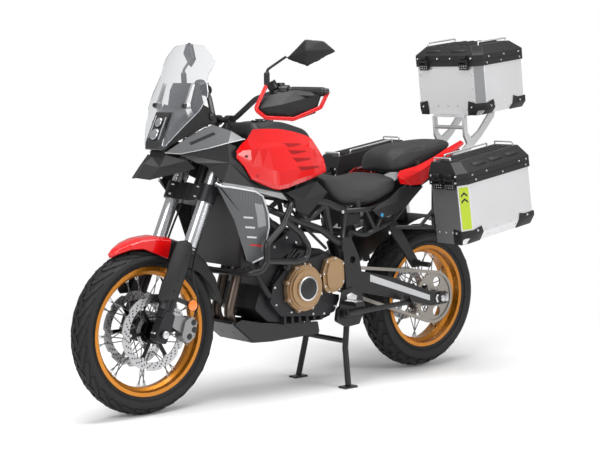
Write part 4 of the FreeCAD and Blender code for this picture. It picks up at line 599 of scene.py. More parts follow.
def tyre_profile(radius, half, flange, rim_half, groove):
    """The tyre's section on one side, from the crown to the bead: (radius, across) in mm."""
    shoulder = flange + (radius - flange) * SHOULDER_SHARE
    crown = radius - shoulder
    arc = (crown ** 2 + half ** 2) / (2 * crown)
    spots = []
    for step in range(CROWN_STEPS + 1):
        across = half * TREAD_SHARE * step / CROWN_STEPS
        spots.append((radius - groove - arc + math.sqrt(arc ** 2 - across ** 2), across))
    spots += [(shoulder + crown * 0.2, half * 0.965), (shoulder, half), (shoulder - 6, half + 1),
              (shoulder - 9, half - 0.5), ((shoulder + flange) / 2 + 3, half * 0.94),
              (flange + 9, rim_half + 4), (flange + 6, rim_half + 3.5), (flange + 2, rim_half - 2),
              (flange - 8, rim_half - 4)]
    return spots, arc


def carcass(name, node, wheel, sizes, groove):
    """The carcass below the tread, turned about the axle."""
    spots = tyre_profile(*sizes, groove)[0]
    mesh = bmesh.new()
    line = [mesh.verts.new(wheel @ mm(reach, across, 0)) for reach, across in spots]
    line = [mesh.verts.new(wheel @ mm(reach, -across, 0)) for reach, across in spots[:0:-1]] + line
    edges = [mesh.edges.new(pair) for pair in zip(line, line[1:])]
    spun(mesh, line + edges, wheel, FULL_TURN, 112)
    bmesh.ops.remove_doubles(mesh, verts=mesh.verts, dist=0.00002)
    outward(mesh)
    item = piece(name, mesh, RUBBER, node, 50)
    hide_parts(node)


def tread(name, node, wheel, sizes, pitches, rows):
    """Rows of blocks about the tyre: (arc from the middle, width, length, skew, shift)."""
    radius = sizes[0]
    arc = tyre_profile(*sizes, 0)[1]
    mesh = bmesh.new()
    for along, width, length, skew, shift in rows:
        for side in (1, -1):
            lean = along / arc
            across = arc * math.sin(lean) * side
            reach = radius - arc + arc * math.cos(lean)
            turn = FULL_TURN * (shift + (0.5 if side < 0 else 0)) / pitches
            place = (wheel @ Matrix.Rotation(turn, 4, "Y") @ at(reach, across, 0)
                     @ Matrix.Rotation(lean * side, 4, "Z")
                     @ Matrix.Rotation(math.radians(skew) * side, 4, "X"))
            start = len(mesh.verts)
            box(mesh, (BLOCK_ROOT, -width / 2, -length / 2), (BLOCK_TOP, width / 2, length / 2), place)
            mesh.verts.ensure_lookup_table()
            tops = [edge for edge in edges_at(mesh.verts[start:]) if all(
                (place.inverted() @ spot.co).x > -0.002 for spot in edge.verts)]
            bmesh.ops.bevel(mesh, geom=tops, offset=BLOCK_CHAMFER, segments=1, profile=0.5,
                            affect="EDGES", material=-1, clamp_overlap=True)
    spun(mesh, everything(mesh), wheel, FULL_TURN * (pitches - 1) / pitches, pitches - 1, True)
    closed(name, mesh, RUBBER, node, 30)


FRONT_TYRE = (329, 55, 255.5, 38)
REAR_TYRE = (321, 75, 230, 60)
carcass("front_carcass", "front_tyre", FRONT_WHEEL, FRONT_TYRE, 6.5)
carcass("rear_carcass", "rear_tyre", REAR_WHEEL, REAR_TYRE, 7.5)
tread("front_tread", "front_tyre", FRONT_WHEEL, FRONT_TYRE, 30,
      [(9.6, 16.5, 55, 18, 0.0), (27.6, 15.5, 52, -24, 0.32), (44.5, 15, 47, -14, 0.66)])
tread("rear_tread", "rear_tyre", REAR_WHEEL, REAR_TYRE, 28,
      [(12.6, 21.5, 58, 18, 0.0), (36.5, 21, 55, -24, 0.32), (58.5, 20, 48, -14, 0.66)])


RIB_RADIUS = 0.0012


def rings(name, node, wheel, radii, across):
    """Thin raised rings on both walls of a wheel."""
    mesh = bmesh.new()
    for reach in radii:
        for side in (1, -1):
            place = wheel @ at(0, side * across, 0) @ SIDEWAYS @ at(reach, 0, 0) @ SIDEWAYS
            made = bmesh.ops.create_circle(mesh, segments=6, radius=RIB_RADIUS, matrix=place)["verts"]
            spun(mesh, made + edges_at(made), wheel, FULL_TURN, 96)
    closed(name, mesh, RUBBER, node, 60)


rings("front_wall_ribs", "front_tyre", FRONT_WHEEL, (268, 272), 47.2)
rings("rear_wall_ribs", "rear_tyre", REAR_WHEEL, (243, 247), 67.6)

for wheel_name, wheel in (("front", FRONT_WHEEL), ("rear", REAR_WHEEL)):
    dressed(wheel_name + "_rim", GOLD, rim=1.0, angle=26)
    hub = dressed(wheel_name + "_hub", SPOKE_STEEL, rim=0.0, angle=40)
    recolour(hub, HUB_BLACK, lambda x, y, z, out: math.hypot(x, z) < 52, wheel)


HUB_FLANGE = 41
SPOKE_LEAN = 0.9


def nipples(name, node, wheel, count, flange_across, rim_reach, rim_across):
    """The threaded sleeves where the spokes meet the rim's well."""
    mesh = bmesh.new()
    for index in range(count):
        side = 1 if index % 2 else -1
        lean = SPOKE_LEAN if (index // 2) % 2 else -SPOKE_LEAN
        angle = FULL_TURN * index / count
        begin = Vector((HUB_FLANGE * math.cos(angle), side * flange_across, HUB_FLANGE * math.sin(angle)))
        far = angle + lean
        end = Vector((rim_reach * math.cos(far), side * rim_across, rim_reach * math.sin(far)))
        along = (begin - end).normalized()
        cylinder(mesh, end - along * 2, end + along * 14, 3.6, wheel, tip=3.0, segments=8)
    piece(name, mesh, BOLT_STEEL, node, 60)


nipples("front_nipples", "front_hub", FRONT_WHEEL, 36, 34, 223, 6)
nipples("rear_nipples", "rear_hub", REAR_WHEEL, 36, 40, 197, 8)


HOLE_RADIUS = 0.0036


def hole_shades(name, node, wheel, rows, faces):
    """Painted shade for the drilled holes: dark discs on a disc's faces, in rows of (radius, count, shift).
    """
    mesh = bmesh.new()
    for across, out in faces:
        for reach, count, shift in rows:
            for index in range(count):
                angle = FULL_TURN * (index + shift) / count
                spot = wheel @ mm(reach * math.cos(angle), across, reach * math.sin(angle))
                bmesh.ops.create_circle(mesh, cap_ends=True, segments=10, radius=HOLE_RADIUS,
                                        matrix=basis(spot, AHEAD, (0, out, 0)))
    piece(name, mesh, BLACK_AND_PAINTED_SHADE, node, 30)


DISC_ROWS = [(122, 30, 0.0), (130, 30, 0.33), (137, 30, 0.66)]
dressed("front_discs", FRONT_DISC, rim=0.6, angle=30)
dressed("rear_disc", DISC_STEEL, rim=0.6, angle=30)
# Near-black discs where the drilled holes are: painted shade for the dark inside of the holes.
hole_shades("front_drillings", "front_discs", FRONT_WHEEL, DISC_ROWS,
          [(65.3, 1), (59.7, -1), (-65.3, -1), (-59.7, 1)])
hole_shades("rear_drillings", "rear_disc", REAR_WHEEL, [(94, 24, 0.0), (101, 24, 0.33), (108, 24, 0.66)],
          [(-78.8, -1), (-73.2, 1)])


def carrier_bolts(name, node, wheel, reach, count, faces):
    """The floating rivets between a disc and its carrier."""
    places = []
    for across, out in faces:
        for index in range(count):
            angle = FULL_TURN * index / count
            places.append(((reach * math.cos(angle), across, reach * math.sin(angle)), (0, out, 0)))
    bolts(name, places, BOLT_STEEL, node, 6.5, 3, wheel)


carrier_bolts("front_disc_rivets", "front_discs", FRONT_WHEEL, 112, 6, [(65, 1), (-65, -1)])
carrier_bolts("rear_disc_rivets", "rear_disc", REAR_WHEEL, 84, 6, [(-78.5, -1)])
dressed("rear_sprocket", CHAIN_STEEL, rim=0.5, angle=30)
bolts("sprocket_nuts", [((34 * math.cos(angle), 103.5, 34 * math.sin(angle)), LEFT) for angle in SIXTHS],
      BOLT_STEEL, "rear_sprocket", 7, 5, REAR_WHEEL)


SENSOR_TEETH = 48


def sensor_ring():
    """The toothed ring of the wheel's speed sensor, inside the left front disc."""
    mesh = bmesh.new()
    for index in range(SENSOR_TEETH):
        turn = FRONT_WHEEL @ Matrix.Rotation(FULL_TURN * index / SENSOR_TEETH, 4, "Y")
        box(mesh, (62, 50, -1.5), (70, 52.5, 1.5), turn)
    for low, high in ((57, 63), (69, 72)):
        place = FRONT_WHEEL @ at(0, 52.4, 0) @ SIDEWAYS
        outer = bmesh.ops.create_circle(mesh, segments=64, radius=high / 1000, matrix=place)["verts"]
        inner = bmesh.ops.create_circle(mesh, segments=64, radius=low / 1000, matrix=place)["verts"]
        face_ring = bmesh.ops.bridge_loops(mesh, edges=edges_at(outer + inner))["faces"]
        raised(mesh, face_ring, (0, -0.0024, 0))
    closed("sensor_ring", mesh, BOLT_STEEL, "front_hub", 40)


sensor_ring()

# Fork, steering and brakes
dressed("fork_tubes", FORK_SILVER, rim=1.0, angle=30)
dressed("fork_legs", BLACK_CAST, rim=1.5)
dressed("triple_clamps", BLACK_CAST, rim=2.0)
dressed("front_calipers", CAST_GREY, rim=2.0)
guard = dressed("front_fender", RED, rim=1.0, crease=2.2)
recolour(guard, BLACK_PLASTIC, lambda x, y, z, out: x < 1270 or (x < 1428 and abs(y) > 54))
dressed("handlebar", BLACK_SATIN, rim=0.8)
dressed("guard_bars", RED_SATIN, rim=0.0)
dressed("hand_guards", BLACK_PLASTIC, rim=0.8, crease=2.5)
rounded(dressed("mirrors", BLACK_PLASTIC, rim=0.0), 0.0032, 10)


LEG_SIDE = 139
LEG_GUARD = [(86, 352), (44, 372), (18, 366), (4, 346), (6, 273), (0, 227), (8, 142), (72, 114),
             (88, 124), (92, 180), (86, 223), (90, 262)]


def fork_details(side, flip):
    """Bolts, tube collars, the leg's guard, caliper pistons, brake hose and reflector of one side."""
    place = flip @ FORK
    bolts(side + "_pinch_bolts", [((30, 96, -6), AHEAD), ((30, 112, -6), AHEAD),
                                  ((38, 86, 330), AHEAD), ((42, 105, 120), AHEAD)],
          BOLT_STEEL, "fork_legs", 4.5, 3, place)
    bolts(side + "_caliper_bolts", [((-118, 92, 96), LEFT), ((-150, 93, 50), LEFT),
                                    ((-128, 93, 40), LEFT), ((-46, 84, 70), LEFT)],
          BOLT_STEEL, "front_calipers", 6, 4, place)
    bars(side + "_fork_collar", BLACK_SATIN, "fork_tubes", place,
         [((0, 105, low), (0, 105, high), reach, 40, 1.5)
          for low, high, reach in ((330, 346, 30), (352, 358, 28.6), (838, 842, 14))])
    mesh = bmesh.new()
    prism(mesh, LEG_GUARD, 0, 9, place @ at(0, LEG_SIDE, 0) @ SIDEWAYS, 3)
    for height in (170, 215, 318):
        cylinder(mesh, (22, 138, height), (22, 141, height), 6, place, segments=20, bevel=1)
    closed(side + "_leg_guard", mesh, BLACK_PLASTIC, "fork_legs")
    bars(side + "_clamp_bolts", BOLT_STEEL, "triple_clamps", place,
         [((34, 74, height), (34, 90, height), 5, 12, 0) for height in (556, 596, 770, 786)], 40)
    bars(side + "_caliper_pistons", BLACK_SATIN, "front_calipers", place,
         [((reach, 88, height), (reach, 97.5, height), 13, 28, 1.5)
          for reach, height in ((-146, 34), (-158, 66), (-144, 92))])
    strip(side + "_brake_hose", [(-140, 92, 112), (-142, 96, 150), (-110, 104, 205), (-62, 108, 240),
                                 (-42, 106, 300), (-38, 100, 400), (-36, 92, 480), (-36, 84, 540)],
          4.2, BLACK_PLASTIC, "fork_legs", place)
    bars(side + "_reflector", AMBER, "fork_legs", place, [((-102, 107, 150), (-102, 113, 150), 21, 36, 1.2)])
    mesh = bmesh.new()
    cylinder(mesh, (-102, 103, 150), (-102, 109, 150), 23, place, segments=36, bevel=1)
    box(mesh, (-110, 101, 141), (-20, 105, 159), place, 1)
    closed(side + "_reflector_frame", mesh, BLACK_SATIN, "fork_legs")
    bars(side + "_axle_cap", BOLT_STEEL, "fork_legs", place, [((0, 137, 0), (0, 145, 0), 15, 32, 1.5)])


both(fork_details)


GRIP_INNER = Vector((991, 279, 1256.5))
GRIP_OUTER = Vector((925, 405, 1254))
GRIP_RADIUS = 18.4
GRIP_RIBS = 22
RIB_PITCH = 5.8
RIB_WIDTH = 3.4
MIRROR_RING = [Vector(spot) for spot in ((1031, 300, 1386), (996, 370, 1459), (962, 438, 1452),
                                         (941, 478, 1416), (994, 374, 1359))]
GLASS_SHIFT = Vector((-17.2, -3.2, -2.2))
GLASS_BORDER = 0.09


def bar_details(side, flip):
    """The ribbed grip, the mirror's glass, the switches, the reservoir and the guard's bolts."""
    mesh = bmesh.new()
    along = (GRIP_OUTER - GRIP_INNER).normalized()
    for index in range(GRIP_RIBS):
        begin = GRIP_INNER + along * (8 + RIB_PITCH * index)
        cylinder(mesh, begin, begin + along * RIB_WIDTH, GRIP_RADIUS, flip @ CHASSIS)
    closed(side + "_grip_ribs", mesh, RUBBER, "handlebar")
    middle = sum(MIRROR_RING, Vector()) / len(MIRROR_RING)
    mesh = bmesh.new()
    made = [mesh.verts.new(flip @ CHASSIS @ ((spot.lerp(middle, GLASS_BORDER) + GLASS_SHIFT) / 1000))
            for spot in MIRROR_RING]
    face = mesh.faces.new(made)
    mesh.normal_update()
    if face.normal.x > 0:
        bmesh.ops.reverse_faces(mesh, faces=[face])
    piece(side + "_mirror_glass", mesh, MIRROR_GLASS, "mirrors")
    mesh = bmesh.new()
    box(mesh, (-14, -10, -9), (14, 10, 9), flip @ CHASSIS @ at(1012, 244, 1281), 3)
    cylinder(mesh, (1040, 238, 1264), (1052, 226, 1292), 20, flip @ CHASSIS, tip=22, segments=28,
             bevel=2)
    closed(side + "_switch_and_reservoir", mesh, BLACK_SATIN, "handlebar")
    bolts(side + "_guard_bolts", [((1102, 272, 1284), (0.4, 0.5, 0.7)), ((917, 424, 1252), LEFT)],
          BOLT_STEEL, "guard_bars", 5, 3, flip @ CHASSIS)


both(bar_details)

# Frame, engine and running gear
for name in ("frame", "subframe"):
    dressed(name, FRAME_GREY, rim=0.0, angle=30)
dressed("engine", BLACK_CAST, rim=2.0)
dressed("engine_covers", BRONZE, rim=2.2)
dressed("skid_plate", BLACK_SATIN, rim=1.2)
dressed("crash_bars", BLACK_SATIN, rim=0.0, angle=30)
dressed("swingarm", BLACK_SATIN, rim=3.0)
dressed("drive_chain", CHAIN_STEEL, rim=0.4)
dressed("rear_shock", BLACK_CAST, rim=1.0)
dressed("footrests", BLACK_SATIN, rim=1.5)
dressed("rear_rack", RACK_SILVER, rim=2.2)
dressed("side_stand", BLACK_SATIN, rim=0.8)
dressed("centre_stand", BLACK_SATIN, rim=0.8)
pipes = dressed("exhaust", HEADER, rim=1.5, angle=30)
recolour(pipes, BLACK_SATIN, lambda x, y, z, out: x < 418 and y < -150)
core = dressed("radiator", BLACK_SATIN, rim=1.5)
recolour(core, CORE_MESH, lambda x, y, z, out: abs(out.x) > 0.7 and abs(y) < 160)


GENERATOR = (822, 449)
CLUTCH = (800, 440)


def turned_bolts(name, centre, reach, count, shift, y, out, node, size=6):
    """Bolts in a circle on a cover."""
    places = []
    for index in range(count):
        angle = FULL_TURN * (index + shift) / count
        places.append(((centre[0] + reach * math.cos(angle), y, centre[1] + reach * math.sin(angle)),
                       (0, out, 0)))
    bolts(name, places, BOLT_STEEL, node, size, 4, CHASSIS)


turned_bolts("generator_bolts", GENERATOR, 95, 8, 0.4, 165.8, 1, "engine_covers", 5.5)
turned_bolts("clutch_bolts", CLUTCH, 101, 9, 0.2, -171.8, -1, "engine_covers")
turned_bolts("clutch_inner_bolts", CLUTCH, 78, 6, 0.2, -181.8, -1, "engine_covers", 5)
turned_bolts("water_pump_bolts", (935, 400), 34, 4, 0.3, -167.8, -1, "engine_covers", 5)
bolts("drive_cover_bolts", [((x, 165.8, z), LEFT) for x, z in (
    (608, 458), (608, 534), (652, 558), (699, 549), (716, 500), (709, 446), (688, 421), (632, 427))],
    BOLT_STEEL, "engine_covers", 5, 3.5, CHASSIS)
bolts("engine_side_bolts", [((x, 146, z), LEFT) for x, z in (
    (640, 355), (700, 330), (760, 334), (880, 352), (960, 390), (968, 462), (900, 528), (806, 548))]
    + [((x, 142, z), LEFT) for x, z in ((850, 640), (900, 662), (965, 628), (1020, 596), (1005, 556))],
    BOLT_STEEL, "engine", 5.5, 4, CHASSIS)


def generator_badge():
    """The plain round plate and silver ring on the generator cover."""
    place = CHASSIS @ at(GENERATOR[0], 189.5, GENERATOR[1]) @ Matrix.Rotation(-math.pi / 2, 4, "X")
    bars("generator_ring", BOLT_STEEL, "engine_covers", place, [((0, 0, 0), (0, 0, 2), 51, 72, 0.8)])
    bars("generator_plate", BLACK_SATIN, "engine_covers", place, [((0, 0, 1), (0, 0, 2.8), 44, 72, 0.6)])


generator_badge()


HEAD_RIBS = 5
HEAD_LEAN = math.radians(27)


def engine_fittings():
    """The head cover's ribs, the screw plugs, two coolant hoses and a wiring lead."""
    mesh = bmesh.new()
    for index in range(HEAD_RIBS):
        box(mesh, (-5, -120, -3), (5, 120, 9), CHASSIS @ at(862 + 34 * index, 0, 682 - 15 * index)
            @ Matrix.Rotation(HEAD_LEAN, 4, "Y"), 2)
    closed("head_cover_ribs", mesh, BLACK_CAST, "engine")
    bars("engine_plugs", BLACK_SATIN, "engine", CHASSIS,
         [((905, 140, 545), (905, 158, 548), 20, 32, 2), ((905, 156, 548), (905, 163, 549), 12, 6, 1),
          ((742, 144, 390), (742, 156, 390), 16, 32, 2)])
    strip("coolant_hose", [(1085, 118, 800), (1040, 128, 780), (990, 132, 740), (940, 124, 700),
                           (900, 110, 690)], 14, BLACK_PLASTIC, "engine", CHASSIS)
    strip("coolant_return", [(1105, 120, 600), (1072, 132, 560), (1040, 140, 500), (1000, 138, 440),
                             (960, 128, 410)], 13, BLACK_PLASTIC, "engine", CHASSIS)
    strip("wiring_lead", [(880, 128, 800), (840, 136, 740), (790, 140, 690), (730, 142, 640),
                          (680, 140, 600)], 6, BLACK_PLASTIC, "frame", CHASSIS)


engine_fittings()


def running_gear(side, flip):
    """The swingarm's light stripe, adjuster and pivot nut, the heel plate and the footrest's teeth."""
    sign = 1 if side == "left" else -1
    film(side + "_arm_stripe", [(436, 470), (70, 346), (70, 322), (436, 440)], "swingarm",
         SILVER_LINE, 0.7, sign)
    place = flip @ CHASSIS
    mesh = bmesh.new()
    prism(mesh, [(-44, -18), (30, -18), (38, 0), (30, 18), (-44, 18)], 0, 7,
          place @ basis(mm(0, 150, 327), AHEAD, LEFT), 2)
    cylinder(mesh, (0, 157, 327), (0, 168, 327), 16, place, segments=6, bevel=1)
    closed(side + "_axle_adjuster", mesh, BOLT_STEEL, "swingarm")
    bars(side + "_pivot_nut", BOLT_STEEL, "swingarm", place,
         [((540, 150, 440), (540, 158, 440), 22, 40, 2), ((540, 157, 440), (540, 166, 440), 14, 6, 1)])
    mesh = bmesh.new()
    prism(mesh, [(598, 400), (574, 408), (540, 392), (552, 356), (596, 360)], 0, 3,
          place @ at(0, 181, 0) @ SIDEWAYS, 1)
    closed(side + "_heel_plate", mesh, RACK_SILVER, "footrests")
    mesh = bmesh.new()
    for index in range(7):
        box(mesh, (576, 192 + 9 * index, 377), (624, 196 + 9 * index, 382), place, 0.8)
    closed(side + "_peg_teeth", mesh, BOLT_STEEL, "footrests")
    bolts(side + "_frame_bolts", [((610, 164, 750), LEFT), ((560, 171, 420), LEFT)],
          BOLT_STEEL, "frame", 8, 5, place)


both(running_gear)

# Bodywork
dressed("fuel_tank", BLACK_PLASTIC, rim=2.0)
panels = dressed("tank_panels", RED, rim=1.0, crease=5.0)
# The panels' inboard faces are red; painting them near-black is painted shade for the gap beside the tank.
recolour(panels, BLACK_AND_PAINTED_SHADE, lambda x, y, z, out: out.y * y < 0 and abs(out.y) > 0.3)
dressed("tail_panels", RED, rim=1.0, crease=3.0)
dressed("front_cowl", BLACK_PLASTIC, rim=1.0, crease=3.0)
dressed("side_covers", BLACK_PLASTIC, rim=1.0, crease=3.0)
dressed("headlamp", LAMP_BLACK, rim=2.5)
tail = dressed("rear_fender", BLACK_PLASTIC, rim=1.2)
recolour(tail, TAIL_RED, lambda x, y, z, out: x < -176 and 941 < z < 984 and out.x < -0.5)
recolour(tail, SILVER_LINE, lambda x, y, z, out: x < -322 and z < 752 and out.x < -0.6)
panel = dressed("instrument_panel", BLACK_PLASTIC, rim=1.0)
recolour(panel, RACK_SILVER, lambda x, y, z, out: abs(y) > 86 and x < 1378)
recolour(panel, DISPLAY, lambda x, y, z, out: out.x < -0.7 and abs(y) < 76 and x < 1300 and z > 1185)
fairing = dressed("side_fairings", GREY_PANEL, rim=0.8, crease=3.0)
WING_FOOT = [(1386, 1016), (1288, 1036), (1221, 1056), (1150, 1070)]
BLADE_TOP = [(1284, 900), (1270, 907), (1134, 882), (990, 851)]
BLADE_FOOT = [(1284, 892), (1235, 886), (1134, 866), (963, 821)]
recolour(fairing, BLACK_PLASTIC,
         lambda x, y, z, out: x < 1386 and height_at(BLADE_TOP, x) < z < height_at(WING_FOOT, x))
recolour(fairing, GREY_LIGHT,
         lambda x, y, z, out: height_at(BLADE_FOOT, x) < z < height_at(BLADE_TOP, x) and abs(y) > 195)
recolour(fairing, CARBON, lambda x, y, z, out: x > 1060 and z < height_at(BLADE_FOOT, x))
recolour(fairing, BLACK_PLASTIC, lambda x, y, z, out: x < 960 and abs(y) < 210)
recolour(fairing, BLACK_PLASTIC, lambda x, y, z, out: out.x > 0.75 and z < 906)
# The fairings' inboard faces painted near-black: painted shade.
recolour(fairing, BLACK_AND_PAINTED_SHADE, lambda x, y, z, out: out.y * y < 0 and abs(out.y) > 0.3)

SHROUD_EDGE = [(1294, 184, 905), (1284, 204, 893), (1235, 216, 886), (1134, 230, 866), (1100, 235, 846),
               (1076, 238, 780), (1068, 234, 722), (1080, 214, 601), (1120, 193, 581)]
STRAKE_SHADES = [(938, 1040, 112), (920, 1010, 118), (900, 979, 124), (878, 943, 160)]
WING_EDGE = [(1438, 51, 1022), (1386, 82, 1017), (1288, 132, 1037), (1221, 172, 1057), (1150, 188, 1071)]


def fairing_trim(side, flip):
    """Silver outlines, patches and bars on the red and grey panels, painted shade in a slot and along the
    strakes, and their screws.
    """
    sign = 1 if side == "left" else -1
    place = flip @ CHASSIS
    strip(side + "_shroud_outline", SHROUD_EDGE, 3.8, SILVER_LINE, "side_fairings", place, False)
    strip(side + "_wing_outline", WING_EDGE, 1.8, SILVER_LINE, "side_fairings", place, False)
    # A near-black film where the wing's slot is: painted shade, with no recess behind it.
    film(side + "_wing_slot_shade", [(1352, 1060), (1262, 1100), (1256, 1090), (1346, 1050)],
         "side_fairings", BLACK_AND_PAINTED_SHADE, 0.5, sign)
    film(side + "_shroud_patch", [(1137, 820), (1098, 812), (1080, 728), (1117, 722)],
         "side_fairings", GREY_LIGHT, 0.5, sign)
    for index, (x, z) in enumerate(((1180, 770), (1168, 730), (1156, 690))):
        film(f"{side}_shroud_bar_{index}", [(x, z), (x - 38, z - 4), (x - 37, z - 11), (x - 2, z - 7)],
             "side_fairings", SILVER_LINE, 0.8, sign)
    film(side + "_shroud_red_bar", [(1139, 657), (1091, 650), (1091, 644), (1139, 651)],
         "side_fairings", RED_SATIN, 0.8, sign)
    # Dark red wedges on the red panel: painted shade standing for the strakes' relief.
    for index, (x, z, length) in enumerate(STRAKE_SHADES):
        film(f"{side}_tank_strake_shade_{index}", [(x, z + 9), (x - length, z + 2), (x - length, z - 3),
                                             (x - 24, z - 9)], "tank_panels", RED_STRAKE_SHADE, 0.7, sign)
    bolts(side + "_panel_screws", [((233, 158, 874), LEFT), ((1160, 210, 1004), (0.2, 1, 0)),
                                   ((1110, 214, 925), (0.1, 1, 0)), ((1250, 122, 1158), LEFT)],
          BLACK_SATIN, "side_fairings", 5.5, 2.5, place)
    bars(side + "_seat_lock", BLUE_LOCK, "side_covers", place, [((390, 171, 724), (390, 178, 724), 8, 28, 1)])
    bars(side + "_screen_knobs", BLACK_SATIN, "front_cowl", place,
         [((1263, 122, 1160), (1263, 130, 1160), 13, 32, 1.5),
          ((1263, 129, 1160), (1263, 133, 1160), 7, 6, 0.6),
          ((1374, 86, 1202), (1374, 104, 1202), 10, 28, 2)])


both(fairing_trim)


LAMP_OUT = Vector((0.91, 0, 0.415)).normalized()
DOME_SHARE = 0.42


def lamp_lenses():
    """Two round projector lenses and the slim running lights on the lamp's slanted face."""
    along = Vector(LEFT)
    mesh = bmesh.new()
    lens = bmesh.new()
    for x, z, reach in ((1446.5, 1092, 24), (1426, 1138, 20)):
        place = CHASSIS @ basis(mm(x, 0, z), along, LAMP_OUT)
        cylinder(mesh, (0, 0, -4), (0, 0, 4), reach + 5, place, segments=48, bevel=2)
        dome = bmesh.ops.create_uvsphere(lens, u_segments=40, v_segments=20, radius=reach / 1000)["verts"]
        bmesh.ops.scale(lens, vec=(1, 1, DOME_SHARE), verts=dome)
        bmesh.ops.transform(lens, matrix=place @ at(0, 0, 2), verts=dome)
    closed("lamp_bezels", mesh, BLACK_SATIN, "headlamp")
    closed("lamp_lenses", lens, LENS, "headlamp", 80)
    mesh = bmesh.new()
    for sign in (1, -1):
        place = CHASSIS @ basis(mm(1434, 0, 1118), along * sign, LAMP_OUT)
        box(mesh, (30, -50, -1), (36, 44, 3), place, 1)
    closed("running_lights", mesh, SILVER_LINE, "headlamp")


lamp_lenses()


SCREEN_LEAN = 23.7
SCREEN_FOOT = (1459, 0, 1040)
SCREEN_RADIUS = 437


def screen():
    """The clear screen with a painted highlight on its cut edge."""
    item = dressed("windscreen", CLEAR, rim=0.0, angle=40)
    lean = math.radians(SCREEN_LEAN)
    along = Vector((-math.sin(lean), 0, math.cos(lean)))
    middle = Vector(SCREEN_FOOT) - Vector((math.cos(lean), 0, math.sin(lean))) * SCREEN_RADIUS

    def is_edge(x, y, z, out):
        reach = Vector((x, y, z)) - middle
        across = (reach - along * reach.dot(along)).normalized()
        return abs(out.dot(across)) < 0.6

    # The cut edge's faces get the painted highlight.
    recolour(item, SCREEN_EDGE_HIGHLIGHT, is_edge)


screen()


CAP_X = 905


def filler_cap():
    """The tank's round cap with its ring of screws and hinged flap."""
    top = surface("fuel_tank").ray_cast(CHASSIS @ mm(CAP_X, 0, 1400), (0, 0, -1))[0].z * 1000
    mesh = bmesh.new()
    cylinder(mesh, (CAP_X, 0, top - 4), (CAP_X, 0, top + 4), 46, CHASSIS, segments=56, bevel=1.5)
    box(mesh, (858, -14, top), (884, 14, top + 8), CHASSIS, 3)
    closed("filler_ring", mesh, BLACK_SATIN, "fuel_tank")
    bolts("filler_screws", [((CAP_X + 40 * math.cos(angle), 40 * math.sin(angle), top + 4), UP)
                            for angle in SIXTHS], BOLT_STEEL, "fuel_tank", 3.4, 2, CHASSIS)
    bars("filler_flap", BLACK_AND_PAINTED_SHADE, "fuel_tank", CHASSIS,
         [((CAP_X, 0, top + 3), (CAP_X, 0, top + 9), 30, 48, 2)])


filler_cap()

# Seats
SEAT_VOXEL = 0.005
FOAM_PRESSURE = 2.5
COVER_STIFFNESS = 40
FOAM_FRAMES = 12
SMOOTH_PASSES = 14
LARGEST_SWELL = 0.004
SEAM_REACH = 0.012
SEAM_DEPTH = 0.0032
SEAM_WIDTH = 0.0035


def cushion(name, node, cut, normal, seams):
    """A seat pad: a remeshed copy of the plain pad, filled, with its seams drawn in afterwards."""
    mesh = bmesh.new()
    mesh.from_mesh(NODES[node].data)
    bmesh.ops.remove_doubles(mesh, verts=mesh.verts, dist=0.00001)
    bmesh.ops.bisect_plane(mesh, geom=everything(mesh), plane_co=CHASSIS @ mm(*cut),
                           plane_no=normal, clear_inner=True)
    bmesh.ops.holes_fill(mesh, edges=[edge for edge in mesh.edges if edge.is_boundary])
    data = bpy.data.meshes.new(name)
    outward(mesh).to_mesh(data)
    mesh.free()
    item = placed(name, data)
    remeshed(item, SEAT_VOXEL)
    baked(item)
    before = [spot.co.copy() for spot in item.data.vertices]
    inflate(item)
    for spot, start in zip(item.data.vertices, before):
        moved = spot.co - start
        if moved.length > LARGEST_SWELL:
            spot.co = start + moved.normalized() * LARGEST_SWELL
    divide = item.modifiers.new("fine_cloth", "SUBSURF")
    divide.levels = divide.render_levels = 1
    baked(item)
    draw_seams(item, seams)
    paint(item, SEAT_VINYL, 80)
    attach(item, body_of(node))
    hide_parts(node)


def inflate(item):
    """Fills the cover like foam for a few frames, with no gravity, and evens it out."""
    cloth = item.modifiers.new("cover", "CLOTH")
    cloth.settings.quality = 5
    cloth.settings.use_pressure = True
    cloth.settings.uniform_pressure_force = FOAM_PRESSURE
    cloth.settings.effector_weights.gravity = 0
    cloth.settings.tension_stiffness = COVER_STIFFNESS
    cloth.settings.compression_stiffness = COVER_STIFFNESS
    for step in range(1, FOAM_FRAMES + 1):
        bpy.context.scene.frame_set(step)
    baked(item)
    bpy.context.scene.frame_set(1)
    evened(item, SMOOTH_PASSES)
    baked(item)


def draw_seams(item, seams):
    """Pulls the cover in along each seam, on both sides of the middle."""
    lines = []
    for seam in seams:
        for sign in (1, -1):
            spots = [CHASSIS @ mm(x, y * sign, z) for x, y, z in seam]
            lines += list(zip(spots, spots[1:]))
    for spot in item.data.vertices:
        gap = min(distance_to(spot.co, begin, end) for begin, end in lines)
        if gap < SEAM_REACH:
            spot.co -= spot.normal * SEAM_DEPTH * math.exp(-(gap / SEAM_WIDTH) ** 2)


def distance_to(spot, begin, end):
    """The distance from a spot to the line between two others."""
    along = end - begin
    share = max(0.0, min(1.0, (spot - begin).dot(along) / along.length_squared))
    return (spot - begin - along * share).length


RIDER_SEAMS = [[(655, 62, 900), (590, 92, 886), (530, 105, 872), (425, 130, 860), (340, 133, 872),
                (275, 128, 878)], [(560, 0, 900), (560, 60, 896), (548, 102, 876)]]
PILLION_SEAMS = [[(250, 92, 962), (180, 110, 988), (80, 108, 998), (-30, 94, 1011), (-120, 70, 1015)],
                 [(60, 0, 1018), (60, 60, 1016), (66, 106, 1000)]]
cushion("rider_cushion", "rider_seat", (500, 0, 768), UP, RIDER_SEAMS)
cushion("pillion_cushion", "pillion_seat", (120, 0, 905), (0.2425, 0, 0.97), PILLION_SEAMS)
bars("seat_feet", BLACK_PLASTIC, "rider_seat", CHASSIS,
     [row for side in (1, -1) for row in (
         ((500, side * 142, 748), (500, side * 142, 779), 12, 24, 2),
         ((120, side * 122, 872), (120, side * 122, 922), 10, 24, 2))])


